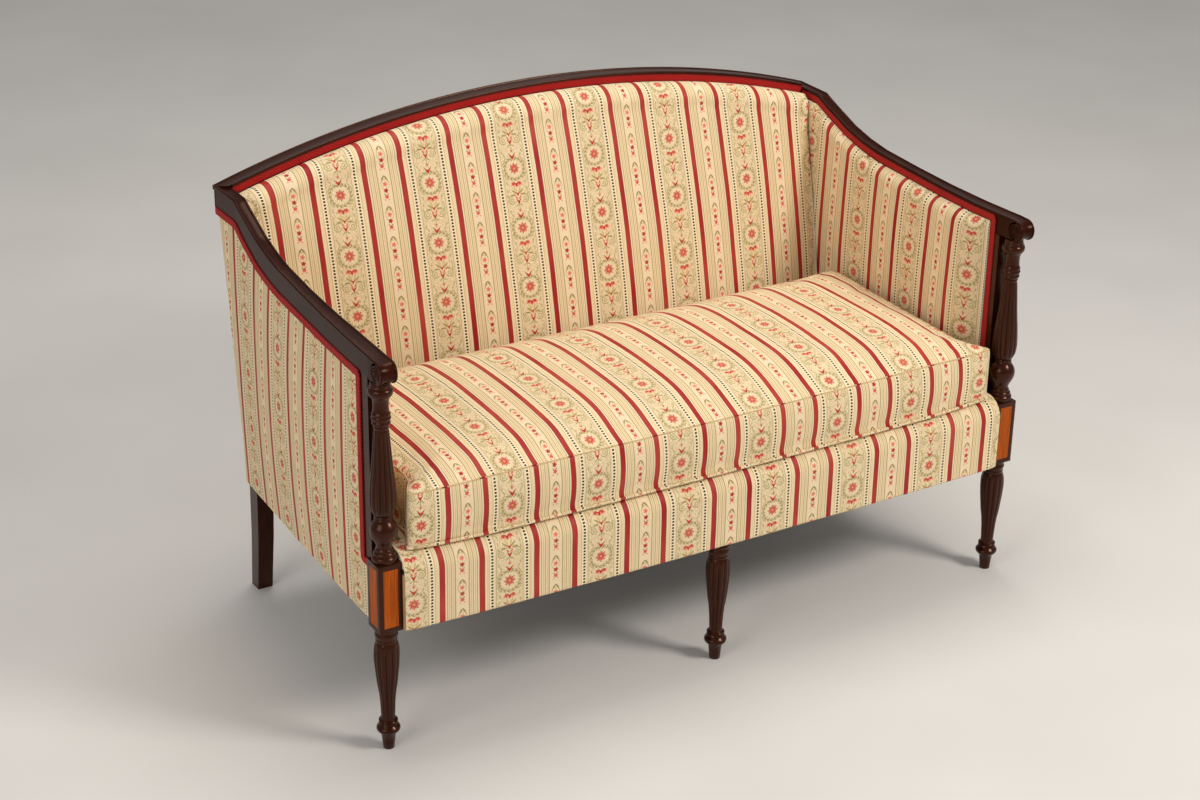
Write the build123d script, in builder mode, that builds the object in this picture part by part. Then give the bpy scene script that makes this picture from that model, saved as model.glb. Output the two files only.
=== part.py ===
from build123d import *

import math
import os

os.makedirs("parts", exist_ok=True)

# A reeded-post settee with a show-wood crest and arm rail, a loose seat cushion and a
# close-covered back and arms. X runs to the sitter's left hand side, Y to the back, Z up.
# The origin lies on the floor, in the middle of the width and of the depth.

# Plan and heights of the whole settee
post_half_spacing = 660.0
middle_leg_forward = 26.6
back_reach = 692.6
crest_height = 917.6
crest_end_height = 813.7
corner_half_width = 653.4
return_height = 814.5
arm_height = 742.0
arm_crease_reach = 600.0
arm_front_spread = 22.7
overrun = 60.0
soft_gap = 0.3

# Turned and reeded front posts
leg_length = 239.5
block_side = 44.4
block_height = 129.6
post_height = 700.0
leg_swell_diameter = 45.6
bulb_diameter = 48.0
vase_diameter = 47.0
leg_reeds = 12
vase_reeds = 14
reed_depth = 2.2
post_tenon_diameter = 12.0
post_tenon_length = 20.0
tenon_clearance = 0.15
panel_width = 27.0
panel_height = 110.0
panel_thickness = 1.2

# Show-wood rails
crest_depth = 36.5
arm_rear_width = 24.5
arm_front_width = 31.0
bead_width = 5.0
bead_rise = 2.0
lip_height = 5.0
overhang = 2.5
overhang_height = 9.0
rail_face = 41.0
crest_face = 37.5
nose_radius = 20.5
nose_reach = 37.5
volute_radius = 9.0
volute_groove = 2.0
volute_depth = 1.2

# Gimp, the woven braid that hides the tacked edges
gimp_width = 15.0
gimp_thickness = 1.8
gimp_gap = 0.2

# Rear posts, measured at their outer back corner
rear_foot_side = 30.0
rear_post_side = 34.0
rear_foot_half_width = 632.0
rear_top_half_width = 648.0
rear_foot_reach = 651.0
rear_waist_reach = 624.0
rear_waist_height = 330.0
rear_top_reach = 673.0
cover_thickness = 2.0

# Arm stiles, the upright boards behind the turned posts
stile_front = 25.0
stile_depth = 35.0
stile_gimp_front = 37.0
outer_gimp_front = 50.0

# Seat frame
seat_rail_bottom = 243.0
seat_rail_top = 345.0
side_rail_top = 357.0
front_rail_back = 5.0
side_rail_thickness = 34.0
side_rail_inset = 14.2
rear_rail_thickness = 30.0
brace_width = 45.0
corner_block_leg = 66.0
corner_block_height = 40.0
screw_diameter = 4.5
screw_head_diameter = 9.0
screw_head_height = 2.5
dowel_diameter = 10.0
dowel_length = 40.0
dowel_clearance = 0.1
tack_rail_height = 28.0
tack_rail_thickness = 16.0
upright_width = 40.0
upright_thickness = 20.0
upright_half_spacing = 210.0

# Seat suspension and stuffing
spring_count = 7
spring_wire = 3.5
spring_width = 46.0
spring_turns = 18
spring_half_spread = 500.0
clip_thickness = 3.5
clip_length = 22.0
clip_width = 60.0
burlap_thickness = 1.2
deck_cover_thickness = 1.5
dust_cover_thickness = 1.0
webbing_width = 50.0
webbing_thickness = 1.5
webbing_heights = (440.0, 520.0, 600.0, 680.0)

# Covered front rail
front_cover_bottom = 240.0
front_cover_reach = 34.0
front_cover_bow = 10.0
front_roll_radius = 38.0
front_cover_thickness = 2.0
front_hem = 14.0
front_roll_back = 30.0

# Inside back and inside arms
back_half_width = 609.8
back_seat_half_reach = 533.0
back_seat_middle_reach = 478.0
back_roll_half_reach = 609.0
back_roll_middle_reach = 600.0
back_crown_end = 4.0
back_crown_middle = 12.0
back_upright_part = 50.0
back_roll_drop = 34.0
arm_inner_half_width = 611.8
arm_inner_crown = 4.0
arm_pad_bottom_gap = 1.6
arm_pad_front_half_width = 644.4
arm_pad_rear_half_width = 620.0
arm_roll_drop = 26.0
inner_cover_thickness = 1.5

# Outside arms
outer_bottom = 237.0
outer_bulge = 9.0
outer_front_half_width = 670.4
outer_rear_half_width = 640.5

# Loose seat cushion
cushion_half_width = 611.0
cushion_front = 28.0
cushion_front_bow = 7.0
cushion_back = 470.0
cushion_bottom = 382.0
cushion_seam = 487.0
cushion_crown = 30.0
cushion_side_bulge = 4.0
welt_diameter = 6.0
core_length = 1150.0
core_depth = 440.0
core_height = 84.0
core_clearance = 0.3
zip_length = 560.0
zip_width = 14.0
zip_thickness = 1.2

# Places that follow from the driving dimensions
front_reach = middle_leg_forward + leg_swell_diameter / 2
leg_y = (front_reach - back_reach) / 2
back_y = leg_y + back_reach
crest_front_y = back_y - crest_depth
crease_y = leg_y + arm_crease_reach
block_top = leg_length + block_height
corner_x = corner_half_width
return_inner_x = corner_x - arm_rear_width
crest_rise = crest_height - crest_end_height
crest_radius = (corner_x ** 2 + crest_rise ** 2) / (2 * crest_rise)
crest_centre_z = crest_height - crest_radius
crest_total = crest_face + gimp_width
rail_total = rail_face + gimp_width
return_rail_bottom = return_height - rail_total - gimp_gap
front_cover_top = cushion_bottom - soft_gap
deck_pad_thickness = front_cover_top - deck_cover_thickness - burlap_thickness - side_rail_top
post_top_z = return_height - rail_total + overhang
tack_step = overhang + gimp_thickness / 2
inner_step = gimp_thickness + gimp_gap


def across(y):
    """Plane that faces the front at depth y: local x is X and local y is Z."""
    return Plane(origin=(0, y, 0), x_dir=(1, 0, 0), z_dir=(0, -1, 0))


def along(x):
    """Plane that faces the side at x: local x is Y and local y is Z."""
    return Plane.YZ.offset(x)


def between(low, high, share):
    return low + (high - low) * share


def read_table(table, share):
    """Straight-line value in a table of (share, value) rows."""
    rows = sorted(table)
    for (s0, v0), (s1, v1) in zip(rows, rows[1:]):
        if share <= s1:
            return v0 + (v1 - v0) * (share - s0) / (s1 - s0)
    return rows[-1][1]


def finish(piece, name):
    piece.label = name
    export_step(piece, f"parts/{name}.step")


def finish_pair(piece, name):
    """Writes a right-hand piece and its mirror image."""
    with BuildPart() as other:
        mirror(piece, about=Plane.YZ)
    finish(piece, name + "_right")
    finish(other.part, name + "_left")


def arch_z(x, drop):
    """Height of the arch that lies drop below the crest's top edge."""
    return crest_centre_z + math.sqrt((crest_radius - drop) ** 2 - x ** 2)


# Turned work: rows of (height share, diameter share) between named heights
leg_reed_shares = (
    (0.234, 0.526, 0.45), (0.390, 0.581, 0.75), (0.539, 0.789, 0.95), (0.650, 0.915, 1.00),
    (0.772, 1.000, 1.00), (0.840, 0.970, 0.85), (0.881, 0.860, 0.45), (0.896, 0.790, 0.20),
)
leg_foot_shares = (
    (0.000, 0.4386), (0.128, 0.580), (0.148, 0.850), (0.165, 0.921), (0.184, 0.860),
    (0.197, 0.710), (0.215, 0.750), (0.234, 0.550),
)
leg_neck_shares = (
    (0.896, 0.820), (0.912, 0.780), (0.935, 0.850), (0.952, 0.895), (0.973, 0.820), (1.000, 0.890),
)
bulb_shares = (
    (0.000, 0.900), (0.022, 0.910), (0.038, 0.790), (0.058, 0.670), (0.090, 0.585),
    (0.135, 0.880), (0.176, 1.000), (0.203, 0.930), (0.231, 0.660), (0.263, 0.650),
)
vase_shares = (
    (0.263, 0.700, 0.35), (0.288, 0.900, 0.95), (0.340, 1.000, 1.00), (0.392, 0.972, 1.00),
    (0.505, 0.840, 0.90), (0.626, 0.692, 0.70), (0.699, 0.609, 0.60), (0.734, 0.560, 0.35),
)
neck_shares = (
    (0.734, 0.550), (0.757, 0.560), (0.768, 0.670), (0.786, 0.640), (0.803, 0.713),
    (0.829, 0.660), (0.870, 0.575), (0.908, 0.640), (0.924, 0.810), (0.945, 0.915),
    (0.965, 0.750), (1.000, 0.720),
)


reed_shoulder_share = 0.72
reed_edge_shares = (0.0, 0.28, 0.72)


def reeded_section(level, diameter, depth, count):
    """Ring of convex reeds, each with a flat crest and two sloping sides."""
    valley_radius = diameter / 2 - depth
    shoulder_radius = diameter / 2 - depth * (1 - reed_shoulder_share) ** 2
    step = 2 * math.pi / count
    turn = -(math.pi + step) / 2
    points = []
    for index in range(count):
        for part in reed_edge_shares:
            radius = shoulder_radius if part else valley_radius
            angle = turn + (index + part) * step
            points.append((radius * math.cos(angle), radius * math.sin(angle)))
    with BuildSketch(level) as section:
        with BuildLine():
            Polyline(*points, close=True)
        make_face()
    return section.sketch


def turned_solid(x, y, base_z, height, diameter, shares):
    """Plain turned stretch: a revolved outline in shares of its height and diameter."""
    plane = Plane(origin=(x, y, base_z), x_dir=(1, 0, 0), z_dir=(0, -1, 0))
    points = [(diameter / 2 * d, height * s) for s, d in shares]
    with BuildPart() as turning:
        with BuildSketch(plane):
            with BuildLine():
                Polyline((0, points[0][1]), *points, (0, points[-1][1]), close=True)
            make_face()
        revolve(axis=Axis((x, y, base_z), (0, 0, 1)))
    return turning.part


def reeded_solid(x, y, base_z, height, diameter, shares, count):
    """Reeded stretch: a ruled loft through rings of reeds."""
    sections = [
        reeded_section(
            Plane(origin=(x, y, base_z + height * s)), diameter * d, reed_depth * k, count
        )
        for s, d, k in shares
    ]
    with BuildPart() as reeding:
        loft(sections=sections, ruled=True)
    return reeding.part


def make_leg(x, y):
    """Tapered reeded leg with its collared foot and ringed neck."""
    with BuildPart() as leg:
        add(turned_solid(x, y, 0, leg_length, leg_swell_diameter, leg_foot_shares))
        add(reeded_solid(x, y, 0, leg_length, leg_swell_diameter, leg_reed_shares, leg_reeds))
        add(turned_solid(x, y, 0, leg_length, leg_swell_diameter, leg_neck_shares))
    return leg.part


# Front post: leg, square block with two inlaid panels, bulb, reeded vase and ringed neck
upper_height = post_height - block_top
side_panel_x = post_half_spacing + block_side / 2 - panel_thickness / 2
front_panel_y = leg_y - block_side / 2 + panel_thickness / 2
panel_z = leg_length + block_height / 2

with BuildPart() as front_post:
    add(make_leg(post_half_spacing, leg_y))
    with Locations((post_half_spacing, leg_y, panel_z)):
        Box(block_side, block_side, block_height)
    add(turned_solid(post_half_spacing, leg_y, block_top, upper_height, bulb_diameter, bulb_shares))
    add(reeded_solid(
        post_half_spacing, leg_y, block_top, upper_height, vase_diameter, vase_shares, vase_reeds
    ))
    add(turned_solid(post_half_spacing, leg_y, block_top, upper_height, vase_diameter, neck_shares))
    with BuildSketch(Plane(origin=(post_half_spacing, leg_y, post_height))):
        Circle(post_tenon_diameter / 2)
    extrude(amount=post_tenon_length)
    with Locations((post_half_spacing, front_panel_y, panel_z)):
        Box(panel_width, panel_thickness, panel_height, mode=Mode.SUBTRACT)
    with Locations((side_panel_x, leg_y, panel_z)):
        Box(panel_thickness, panel_width, panel_height, mode=Mode.SUBTRACT)
finish_pair(front_post.part, "front_post")

with BuildPart() as front_panel:
    with Locations((post_half_spacing, front_panel_y, panel_z)):
        Box(panel_width, panel_thickness, panel_height)
finish_pair(front_panel.part, "satinwood_front_panel")

with BuildPart() as side_panel:
    with Locations((side_panel_x, leg_y, panel_z)):
        Box(panel_thickness, panel_width, panel_height)
finish_pair(side_panel.part, "satinwood_side_panel")

middle_leg_y = leg_y - middle_leg_forward
with BuildPart() as middle_leg:
    add(make_leg(0, middle_leg_y))
    with BuildSketch(Plane(origin=(0, middle_leg_y, leg_length))):
        Circle(post_tenon_diameter)
    extrude(amount=seat_rail_bottom - leg_length)
    with BuildSketch(Plane(origin=(0, middle_leg_y, seat_rail_bottom))):
        Circle(post_tenon_diameter / 2)
    extrude(amount=post_tenon_length)
finish(middle_leg.part, "front_leg_middle")

# Rear posts: one stick each, splayed at the foot and raked above the seat
def rear_post_back(z):
    """Depth of the rear post's back face at height z."""
    if z <= rear_waist_height:
        fall = 1 - z / rear_waist_height
        return leg_y + rear_waist_reach + (rear_foot_reach - rear_waist_reach) * fall ** 2
    climb = (z - rear_waist_height) / (post_top_z - rear_waist_height)
    return leg_y + rear_waist_reach + (rear_top_reach - rear_waist_reach) * climb ** 1.1


def rear_post_side_at(z):
    return between(rear_foot_side, rear_post_side, min(1, z / leg_length))


def rear_post_outer(z):
    return between(rear_foot_half_width, rear_top_half_width, z / post_top_z)


def rear_post_section(z):
    side = rear_post_side_at(z)
    centre = (rear_post_outer(z) - side / 2, rear_post_back(z) - side / 2, z)
    with BuildSketch(Plane(origin=centre)) as section:
        Rectangle(side, side)
    return section.sketch


rear_post_levels = (
    0, leg_length / 2, leg_length, rear_waist_height, side_rail_top,
    between(side_rail_top, post_top_z, 1 / 4), between(side_rail_top, post_top_z, 1 / 2),
    between(side_rail_top, post_top_z, 3 / 4), post_top_z,
)
top_side = rear_post_side
top_x = rear_top_half_width - top_side / 2
top_y = rear_post_back(post_top_z) - top_side / 2
crest_dowel = (top_x - top_side / 4, top_y + top_side / 4)
arm_dowel = (top_x + top_side / 4, top_y - top_side / 4)
dowel_spots = (crest_dowel, arm_dowel)

with BuildPart() as rear_post:
    loft(sections=[rear_post_section(z) for z in rear_post_levels], ruled=True)
    for spot in dowel_spots:
        with BuildSketch(Plane(origin=(*spot, post_top_z))):
            Circle(dowel_diameter / 2 + dowel_clearance)
        extrude(amount=-dowel_length / 2, mode=Mode.SUBTRACT)
finish_pair(rear_post.part, "rear_post")

with BuildPart() as frame_dowels:
    for side in (1, -1):
        for spot in dowel_spots:
            with BuildSketch(Plane(origin=(side * spot[0], spot[1], post_top_z - dowel_length / 2))):
                RegularPolygon(dowel_diameter / 2, 8)
            extrude(amount=dowel_length)
finish(frame_dowels.part, "frame_dowels")

# Mitre between the crest rail and the arm rails
mitre_outer = Vector(corner_x, back_y, 0)
mitre_inner = Vector(return_inner_x, crest_front_y, 0)
mitre_line = mitre_inner - mitre_outer
mitre_plane = Plane(origin=mitre_outer, z_dir=(-mitre_line.Y, mitre_line.X, 0))
left_mitre_plane = Plane(
    origin=(-corner_x, back_y, 0), z_dir=(mitre_line.Y, mitre_line.X, 0)
)

bead_shares = ((0.0, 1.0), (0.2, 0.25), (0.5, 0.0), (0.8, 0.25), (1.0, 1.0))
channel_share = 1.5

# Crest rail: the moulded section turned about the arch's centre
crest_axis = Axis((0, 0, crest_centre_z), (0, 1, 0))
crest_sweep = 2 * math.degrees(math.asin((corner_x + overrun / 2) / crest_radius))


def crest_level(drop):
    """Radius about the arch's centre of a line that lies drop below the top edge."""
    return crest_radius - drop


def start_plane():
    """Section plane at the arch's left-hand end, local y along the arch's radius."""
    half = math.radians(crest_sweep / 2)
    return Plane(
        origin=(0, 0, crest_centre_z), x_dir=(0, 1, 0), z_dir=(math.cos(half), 0, math.sin(half))
    )


def arched_strip(y_near, y_far, drop_near, drop_far):
    """Rectangular strip that follows the arch."""
    with BuildPart() as strip:
        with BuildSketch(start_plane()):
            with BuildLine():
                Polyline(
                    (y_near, crest_level(drop_near)), (y_far, crest_level(drop_near)),
                    (y_far, crest_level(drop_far)), (y_near, crest_level(drop_far)), close=True,
                )
            make_face()
        revolve(axis=crest_axis, revolution_arc=crest_sweep)
    return strip.part


def moulded_top(near, far):
    """Points (place, drop) across a rail's top: a bead along each edge, a channel between."""
    bead = [(near + share * bead_width, drop * bead_rise) for share, drop in bead_shares]
    channel = ((near + far) / 2, channel_share * bead_rise)
    mirrored = [(near + far - place, drop) for place, drop in reversed(bead)]
    return [*bead, channel, *mirrored]


with BuildPart() as crest_rail:
    with BuildSketch(start_plane()):
        with BuildLine():
            Polyline(
                *[(y, crest_level(drop)) for y, drop in moulded_top(crest_front_y, back_y)],
                (back_y, crest_level(overhang_height)),
                (back_y - overhang, crest_level(overhang_height)),
                (back_y - overhang, crest_level(crest_face)),
                (back_y - tack_step, crest_level(crest_face)),
                (back_y - tack_step, crest_level(crest_total)),
                (crest_front_y + inner_step, crest_level(crest_total)),
                (crest_front_y + inner_step, crest_level(lip_height)),
                (crest_front_y, crest_level(lip_height)),
                close=True,
            )
        make_face()
    revolve(axis=crest_axis, revolution_arc=crest_sweep)
    foot_front_y = crest_front_y + inner_step
    foot_back_y = rear_post_back(post_top_z) - gimp_gap
    for side in (1, -1):
        with Locations((side * top_x, (foot_front_y + foot_back_y) / 2, post_top_z + gimp_width / 2)):
            Box(top_side, foot_back_y - foot_front_y, gimp_width)
    split(bisect_by=mitre_plane, keep=Keep.BOTTOM)
    split(bisect_by=left_mitre_plane, keep=Keep.BOTTOM)
    for side in (1, -1):
        with BuildSketch(Plane(origin=(side * crest_dowel[0], crest_dowel[1], post_top_z))):
            Circle(dowel_diameter / 2 + dowel_clearance)
        extrude(amount=dowel_length / 2, mode=Mode.SUBTRACT)
finish(crest_rail.part, "crest_rail")

# Arm rails: rows of (share of the run from front to crease, share of the drop, face height share)
arm_drop = return_height - arm_height
arm_fall_shares = (
    (0.000, 1.000), (0.167, 1.020), (0.333, 1.000), (0.500, 0.938), (0.667, 0.849), (0.750, 0.740),
    (0.833, 0.562), (0.900, 0.345), (0.950, 0.180), (1.000, 0.000),
)
arm_face_shares = (
    (0.000, 1.00), (0.500, 1.02), (0.700, 1.10), (0.850, 1.18), (0.950, 1.12), (1.000, 1.00),
)
arm_width_shares = ((0.000, 1.00), (0.170, 0.90), (0.300, 0.50), (0.500, 0.05), (1.000, 0.00))


def arm_share(y):
    return min(1.0, max(0.0, (y - leg_y) / arm_crease_reach))


def arm_top(y):
    return return_height - arm_drop * read_table(arm_fall_shares, arm_share(y))


def arm_face(y):
    return rail_face * read_table(arm_face_shares, arm_share(y))


def arm_outer(y):
    forward = 1 - arm_share(y)
    return corner_x + arm_front_spread * (0.77 * forward + 0.23 * forward ** 2)


def arm_inner(y):
    widening = arm_front_width - arm_rear_width
    width = arm_rear_width + widening * read_table(arm_width_shares, arm_share(y))
    return arm_outer(y) - width


stile_back_y = leg_y + stile_front + stile_depth
outer_gimp_y = leg_y + outer_gimp_front
inner_gimp_y = leg_y + stile_gimp_front
arm_stations = sorted(
    [back_y, stile_back_y, outer_gimp_y, inner_gimp_y]
    + [leg_y + arm_crease_reach * share for share, _ in arm_fall_shares],
    reverse=True,
)


def arm_rail_section(y):
    """Moulded section: a bead along each edge and a shallow channel between them."""
    inner, outer, top, face = (arm_inner(y), arm_outer(y), arm_top(y), arm_face(y))
    with BuildSketch(across(y)) as section:
        with BuildLine():
            Polyline(
                *[(x, top - drop) for x, drop in moulded_top(inner, outer)],
                (outer, top - overhang_height),
                (outer - overhang, top - overhang_height),
                (outer - overhang, top - face),
                (inner + inner_step, top - face),
                (inner + inner_step, top - lip_height),
                (inner, top - lip_height),
                close=True,
            )
        make_face()
    return section.sketch


def arm_strip_section(y, x_near, x_far, z_low, z_high):
    with BuildSketch(across(y)) as section:
        with BuildLine():
            Polyline((x_near, z_low), (x_far, z_low), (x_far, z_high), (x_near, z_high), close=True)
        make_face()
    return section.sketch


tack_stations = [y for y in arm_stations if y >= stile_back_y]
nose_x = arm_inner(leg_y)
nose_width = arm_front_width
nose_centre_y = leg_y - nose_reach + nose_radius
nose_z = arm_top(leg_y) - bead_rise / 2 - nose_radius

with BuildPart() as arm_rail:
    loft(sections=[arm_rail_section(y) for y in arm_stations], ruled=True)
    loft(
        sections=[
            arm_strip_section(
                y, arm_inner(y) + inner_step, arm_outer(y) - tack_step,
                arm_top(y) - arm_face(y) - gimp_width, arm_top(y) - arm_face(y) + lip_height,
            )
            for y in tack_stations
        ],
        ruled=True,
    )
    with BuildSketch(along(nose_x)):
        with Locations((nose_centre_y, nose_z)):
            Circle(nose_radius)
        with BuildLine():
            Polyline(
                (nose_centre_y, nose_z + nose_radius), (leg_y, nose_z + nose_radius),
                (leg_y, nose_z - nose_radius), (nose_centre_y, nose_z - nose_radius), close=True,
            )
        make_face()
    extrude(amount=nose_width)
    for face_x, way in ((nose_x, 1), (nose_x + nose_width, -1)):
        with BuildSketch(along(face_x)):
            with Locations((nose_centre_y, nose_z)):
                Circle(volute_radius)
                Circle(volute_radius - volute_groove, mode=Mode.SUBTRACT)
        extrude(amount=way * volute_depth, mode=Mode.SUBTRACT)
    with BuildSketch(Plane(origin=(post_half_spacing, leg_y, post_height - overrun))):
        Circle(post_tenon_diameter / 2 + tenon_clearance)
    extrude(amount=overrun + post_tenon_length + tenon_clearance, mode=Mode.SUBTRACT)
    with Locations((post_half_spacing, leg_y, post_height - overrun / 2)):
        Box(2 * overrun, 2 * (stile_front + stile_depth), overrun, mode=Mode.SUBTRACT)
    split(bisect_by=mitre_plane, keep=Keep.TOP)
    with Locations((top_x, top_y, post_top_z - overrun / 2)):
        Box(top_side + overrun, top_side + 2 * overhang, overrun, mode=Mode.SUBTRACT)
    with BuildSketch(Plane(origin=(*arm_dowel, post_top_z))):
        Circle(dowel_diameter / 2 + dowel_clearance)
    extrude(amount=dowel_length / 2, mode=Mode.SUBTRACT)
finish_pair(arm_rail.part, "arm_rail")

# Arm stiles stand on the side seat rails, behind the turned posts
stile_outer_x = arm_outer(stile_back_y) - overhang
stile_inner_x = arm_inner(stile_back_y) + inner_step
stile_z = (side_rail_top + post_height) / 2
with BuildPart() as arm_stile:
    with Locations((
        (stile_outer_x + stile_inner_x) / 2, leg_y + stile_front + stile_depth / 2, stile_z,
    )):
        Box(stile_outer_x - stile_inner_x, stile_depth, post_height - side_rail_top)
    rabbet_z = arm_top(outer_gimp_y) - arm_face(outer_gimp_y) - gimp_width - gimp_gap
    with Locations((
        arm_outer(stile_back_y) - tack_step + overrun / 2, outer_gimp_y - gimp_gap + overrun / 2,
        rabbet_z + overrun / 2,
    )):
        Box(overrun, overrun, overrun, mode=Mode.SUBTRACT)
finish_pair(arm_stile.part, "arm_stile")

# Seat frame
block_inner_x = post_half_spacing - block_side / 2
block_back_y = leg_y + block_side / 2
front_rail_back_y = leg_y - front_rail_back
rail_reach = front_cover_reach - front_cover_thickness - 3 * soft_gap
rear_front_y = rear_post_back(seat_rail_bottom) - rear_post_side_at(seat_rail_bottom)


def bowed_plan(half_width, reach, bow, back_line_y):
    """Plan outline with a gently bowed front."""
    with BuildSketch() as plan:
        with BuildLine():
            ThreePointArc(
                (-half_width, leg_y - reach), (0, leg_y - reach - bow), (half_width, leg_y - reach)
            )
            Polyline(
                (half_width, leg_y - reach), (half_width, back_line_y),
                (-half_width, back_line_y), (-half_width, leg_y - reach),
            )
        make_face()
    return plan.sketch


with BuildPart() as front_seat_rail:
    add(bowed_plan(block_inner_x, rail_reach, front_cover_bow, front_rail_back_y))
    extrude(amount=seat_rail_top - seat_rail_bottom)
    with BuildSketch(Plane(origin=(0, middle_leg_y, 0))):
        Circle(post_tenon_diameter / 2 + tenon_clearance)
    extrude(amount=post_tenon_length + tenon_clearance, mode=Mode.SUBTRACT)
front_seat_rail_part = front_seat_rail.part.moved(Location((0, 0, seat_rail_bottom)))
finish(front_seat_rail_part, "front_seat_rail")

waist_z = rear_waist_height
post_inner_x = rear_post_outer(waist_z) - rear_post_side_at(waist_z)
rear_rail_back_y = rear_post_back(waist_z) - soft_gap
rear_rail_half = rear_post_outer(seat_rail_bottom) - rear_post_side_at(seat_rail_bottom)
with BuildPart() as rear_seat_rail:
    with Locations((
        0, rear_rail_back_y - rear_rail_thickness / 2, (seat_rail_bottom + seat_rail_top) / 2,
    )):
        Box(2 * rear_rail_half, rear_rail_thickness, seat_rail_top - seat_rail_bottom)
finish(rear_seat_rail.part, "rear_seat_rail")

side_front_outer = post_half_spacing + block_side / 2 - side_rail_inset
side_rear_outer = rear_post_outer(seat_rail_bottom)
side_back_y = rear_post_back(rear_waist_height) - rear_post_side
with BuildPart() as side_seat_rail:
    with BuildSketch(Plane.XY.offset(seat_rail_bottom)):
        with BuildLine():
            Polyline(
                (side_front_outer, block_back_y),
                (side_front_outer - side_rail_thickness, block_back_y),
                (side_rear_outer - side_rail_thickness, side_back_y),
                (side_rear_outer, side_back_y), close=True,
            )
        make_face()
    extrude(amount=side_rail_top - seat_rail_bottom)
finish_pair(side_seat_rail.part, "side_seat_rail")


def side_rail_inner(y):
    share = (y - block_back_y) / (side_back_y - block_back_y)
    return between(side_front_outer, side_rear_outer, share) - side_rail_thickness


brace_front_y = front_rail_back_y
brace_back_y = rear_rail_back_y - rear_rail_thickness
brace_height = corner_block_height
brace_z = seat_rail_bottom + brace_height / 2
with BuildPart() as seat_brace:
    with Locations((0, (brace_front_y + brace_back_y) / 2, brace_z)):
        Box(brace_width, brace_back_y - brace_front_y, brace_height)
finish(seat_brace.part, "seat_brace")

# Glued and screwed corner blocks


def screw_spot(corner_x_here, corner_y_here, toward):
    return (corner_x_here - corner_block_leg / 3, corner_y_here + toward * corner_block_leg / 4)


def corner_block(corner_x_here, corner_y_here, toward, inner_at_far):
    """Triangular block; toward is +1 at the front corners and -1 at the rear ones."""
    far_y = corner_y_here + toward * corner_block_leg
    with BuildPart() as block:
        with BuildSketch(Plane.XY.offset(seat_rail_bottom)):
            with BuildLine():
                Polyline(
                    (corner_x_here, corner_y_here), (inner_at_far, far_y),
                    (corner_x_here - corner_block_leg, corner_y_here), close=True,
                )
            make_face()
        extrude(amount=corner_block_height)
        spot = screw_spot(corner_x_here, corner_y_here, toward)
        with BuildSketch(Plane(origin=(*spot, seat_rail_bottom))):
            Circle(screw_diameter / 2 + dowel_clearance)
        extrude(amount=corner_block_height, mode=Mode.SUBTRACT)
    return block.part


front_block_x = min(block_inner_x, side_rail_inner(block_back_y))
front_block_far = side_rail_inner(front_rail_back_y + corner_block_leg)
finish_pair(
    corner_block(front_block_x, front_rail_back_y, 1, front_block_far), "front_corner_block"
)
rear_block_x = rear_rail_half
rear_block_y = brace_back_y
finish_pair(
    corner_block(rear_block_x, rear_block_y, -1, rear_block_x), "rear_corner_block"
)

screw_lift = seat_rail_bottom + corner_block_height
with BuildPart() as corner_block_screws:
    for side in (1, -1):
        for spot_x, spot_y in (
            screw_spot(front_block_x, front_rail_back_y, 1),
            screw_spot(rear_block_x, rear_block_y, -1),
        ):
            with BuildSketch(Plane(origin=(side * spot_x, spot_y, screw_lift))):
                RegularPolygon(screw_head_diameter / 2, 8)
            extrude(amount=screw_head_height)
            with BuildSketch(Plane(origin=(side * spot_x, spot_y, screw_lift))):
                RegularPolygon(screw_diameter / 2, 8)
            extrude(amount=-corner_block_height)
finish(corner_block_screws.part, "corner_block_screws")

# Back frame: a lower tack rail and two raked uprights between the posts
back_rail_z = side_rail_top + tack_rail_height
back_plane_low = Vector(0, rear_post_back(side_rail_top) - rear_post_side, side_rail_top)
back_plane_high = Vector(0, rear_post_back(post_top_z) - rear_post_side, post_top_z)
back_slope = (back_plane_high.Y - back_plane_low.Y) / (back_plane_high.Z - back_plane_low.Z)


def back_frame_front(z):
    """Front of the back frame: a straight raked line, kept ahead of the posts' faces."""
    clearance = webbing_thickness + 2 * overhang
    return back_plane_low.Y - clearance + back_slope * (z - back_plane_low.Z)


back_rail_half = rear_post_outer(side_rail_top) - rear_post_side
back_rail_y = rear_post_back(side_rail_top) - rear_post_side / 2
with BuildPart() as back_tack_rail:
    with Locations((0, back_rail_y, side_rail_top + tack_rail_height / 2)):
        Box(2 * back_rail_half, tack_rail_thickness, tack_rail_height)
finish(back_tack_rail.part, "back_tack_rail")



def back_chord(z):
    return back_plane_low.Y + back_slope * (z - back_plane_low.Z)


back_sag = max(
    back_chord(z) - rear_post_back(z) + rear_post_side for z in rear_post_levels if z >= side_rail_top
)


def back_post_front(z):
    """Straight raked line just ahead of the rear posts' front faces."""
    return back_chord(z) - back_sag - gimp_gap


upright_low_z = side_rail_top + tack_rail_height
upright_high_z = arch_z(upright_half_spacing + upright_width / 2, crest_total)
for side_name, side in (("right", 1), ("left", -1)):
    with BuildPart() as back_upright:
        with BuildSketch(along(side * upright_half_spacing - upright_width / 2)):
            with BuildLine():
                low_y = back_post_front(upright_low_z)
                high_y = back_post_front(upright_high_z)
                Polyline(
                    (low_y, upright_low_z), (low_y + upright_thickness, upright_low_z),
                    (high_y + upright_thickness, upright_high_z), (high_y, upright_high_z),
                    close=True,
                )
            make_face()
        extrude(amount=upright_width)
    back_upright.part.label = "back_upright_" + side_name
    export_step(back_upright.part, f"parts/back_upright_{side_name}.step")

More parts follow.
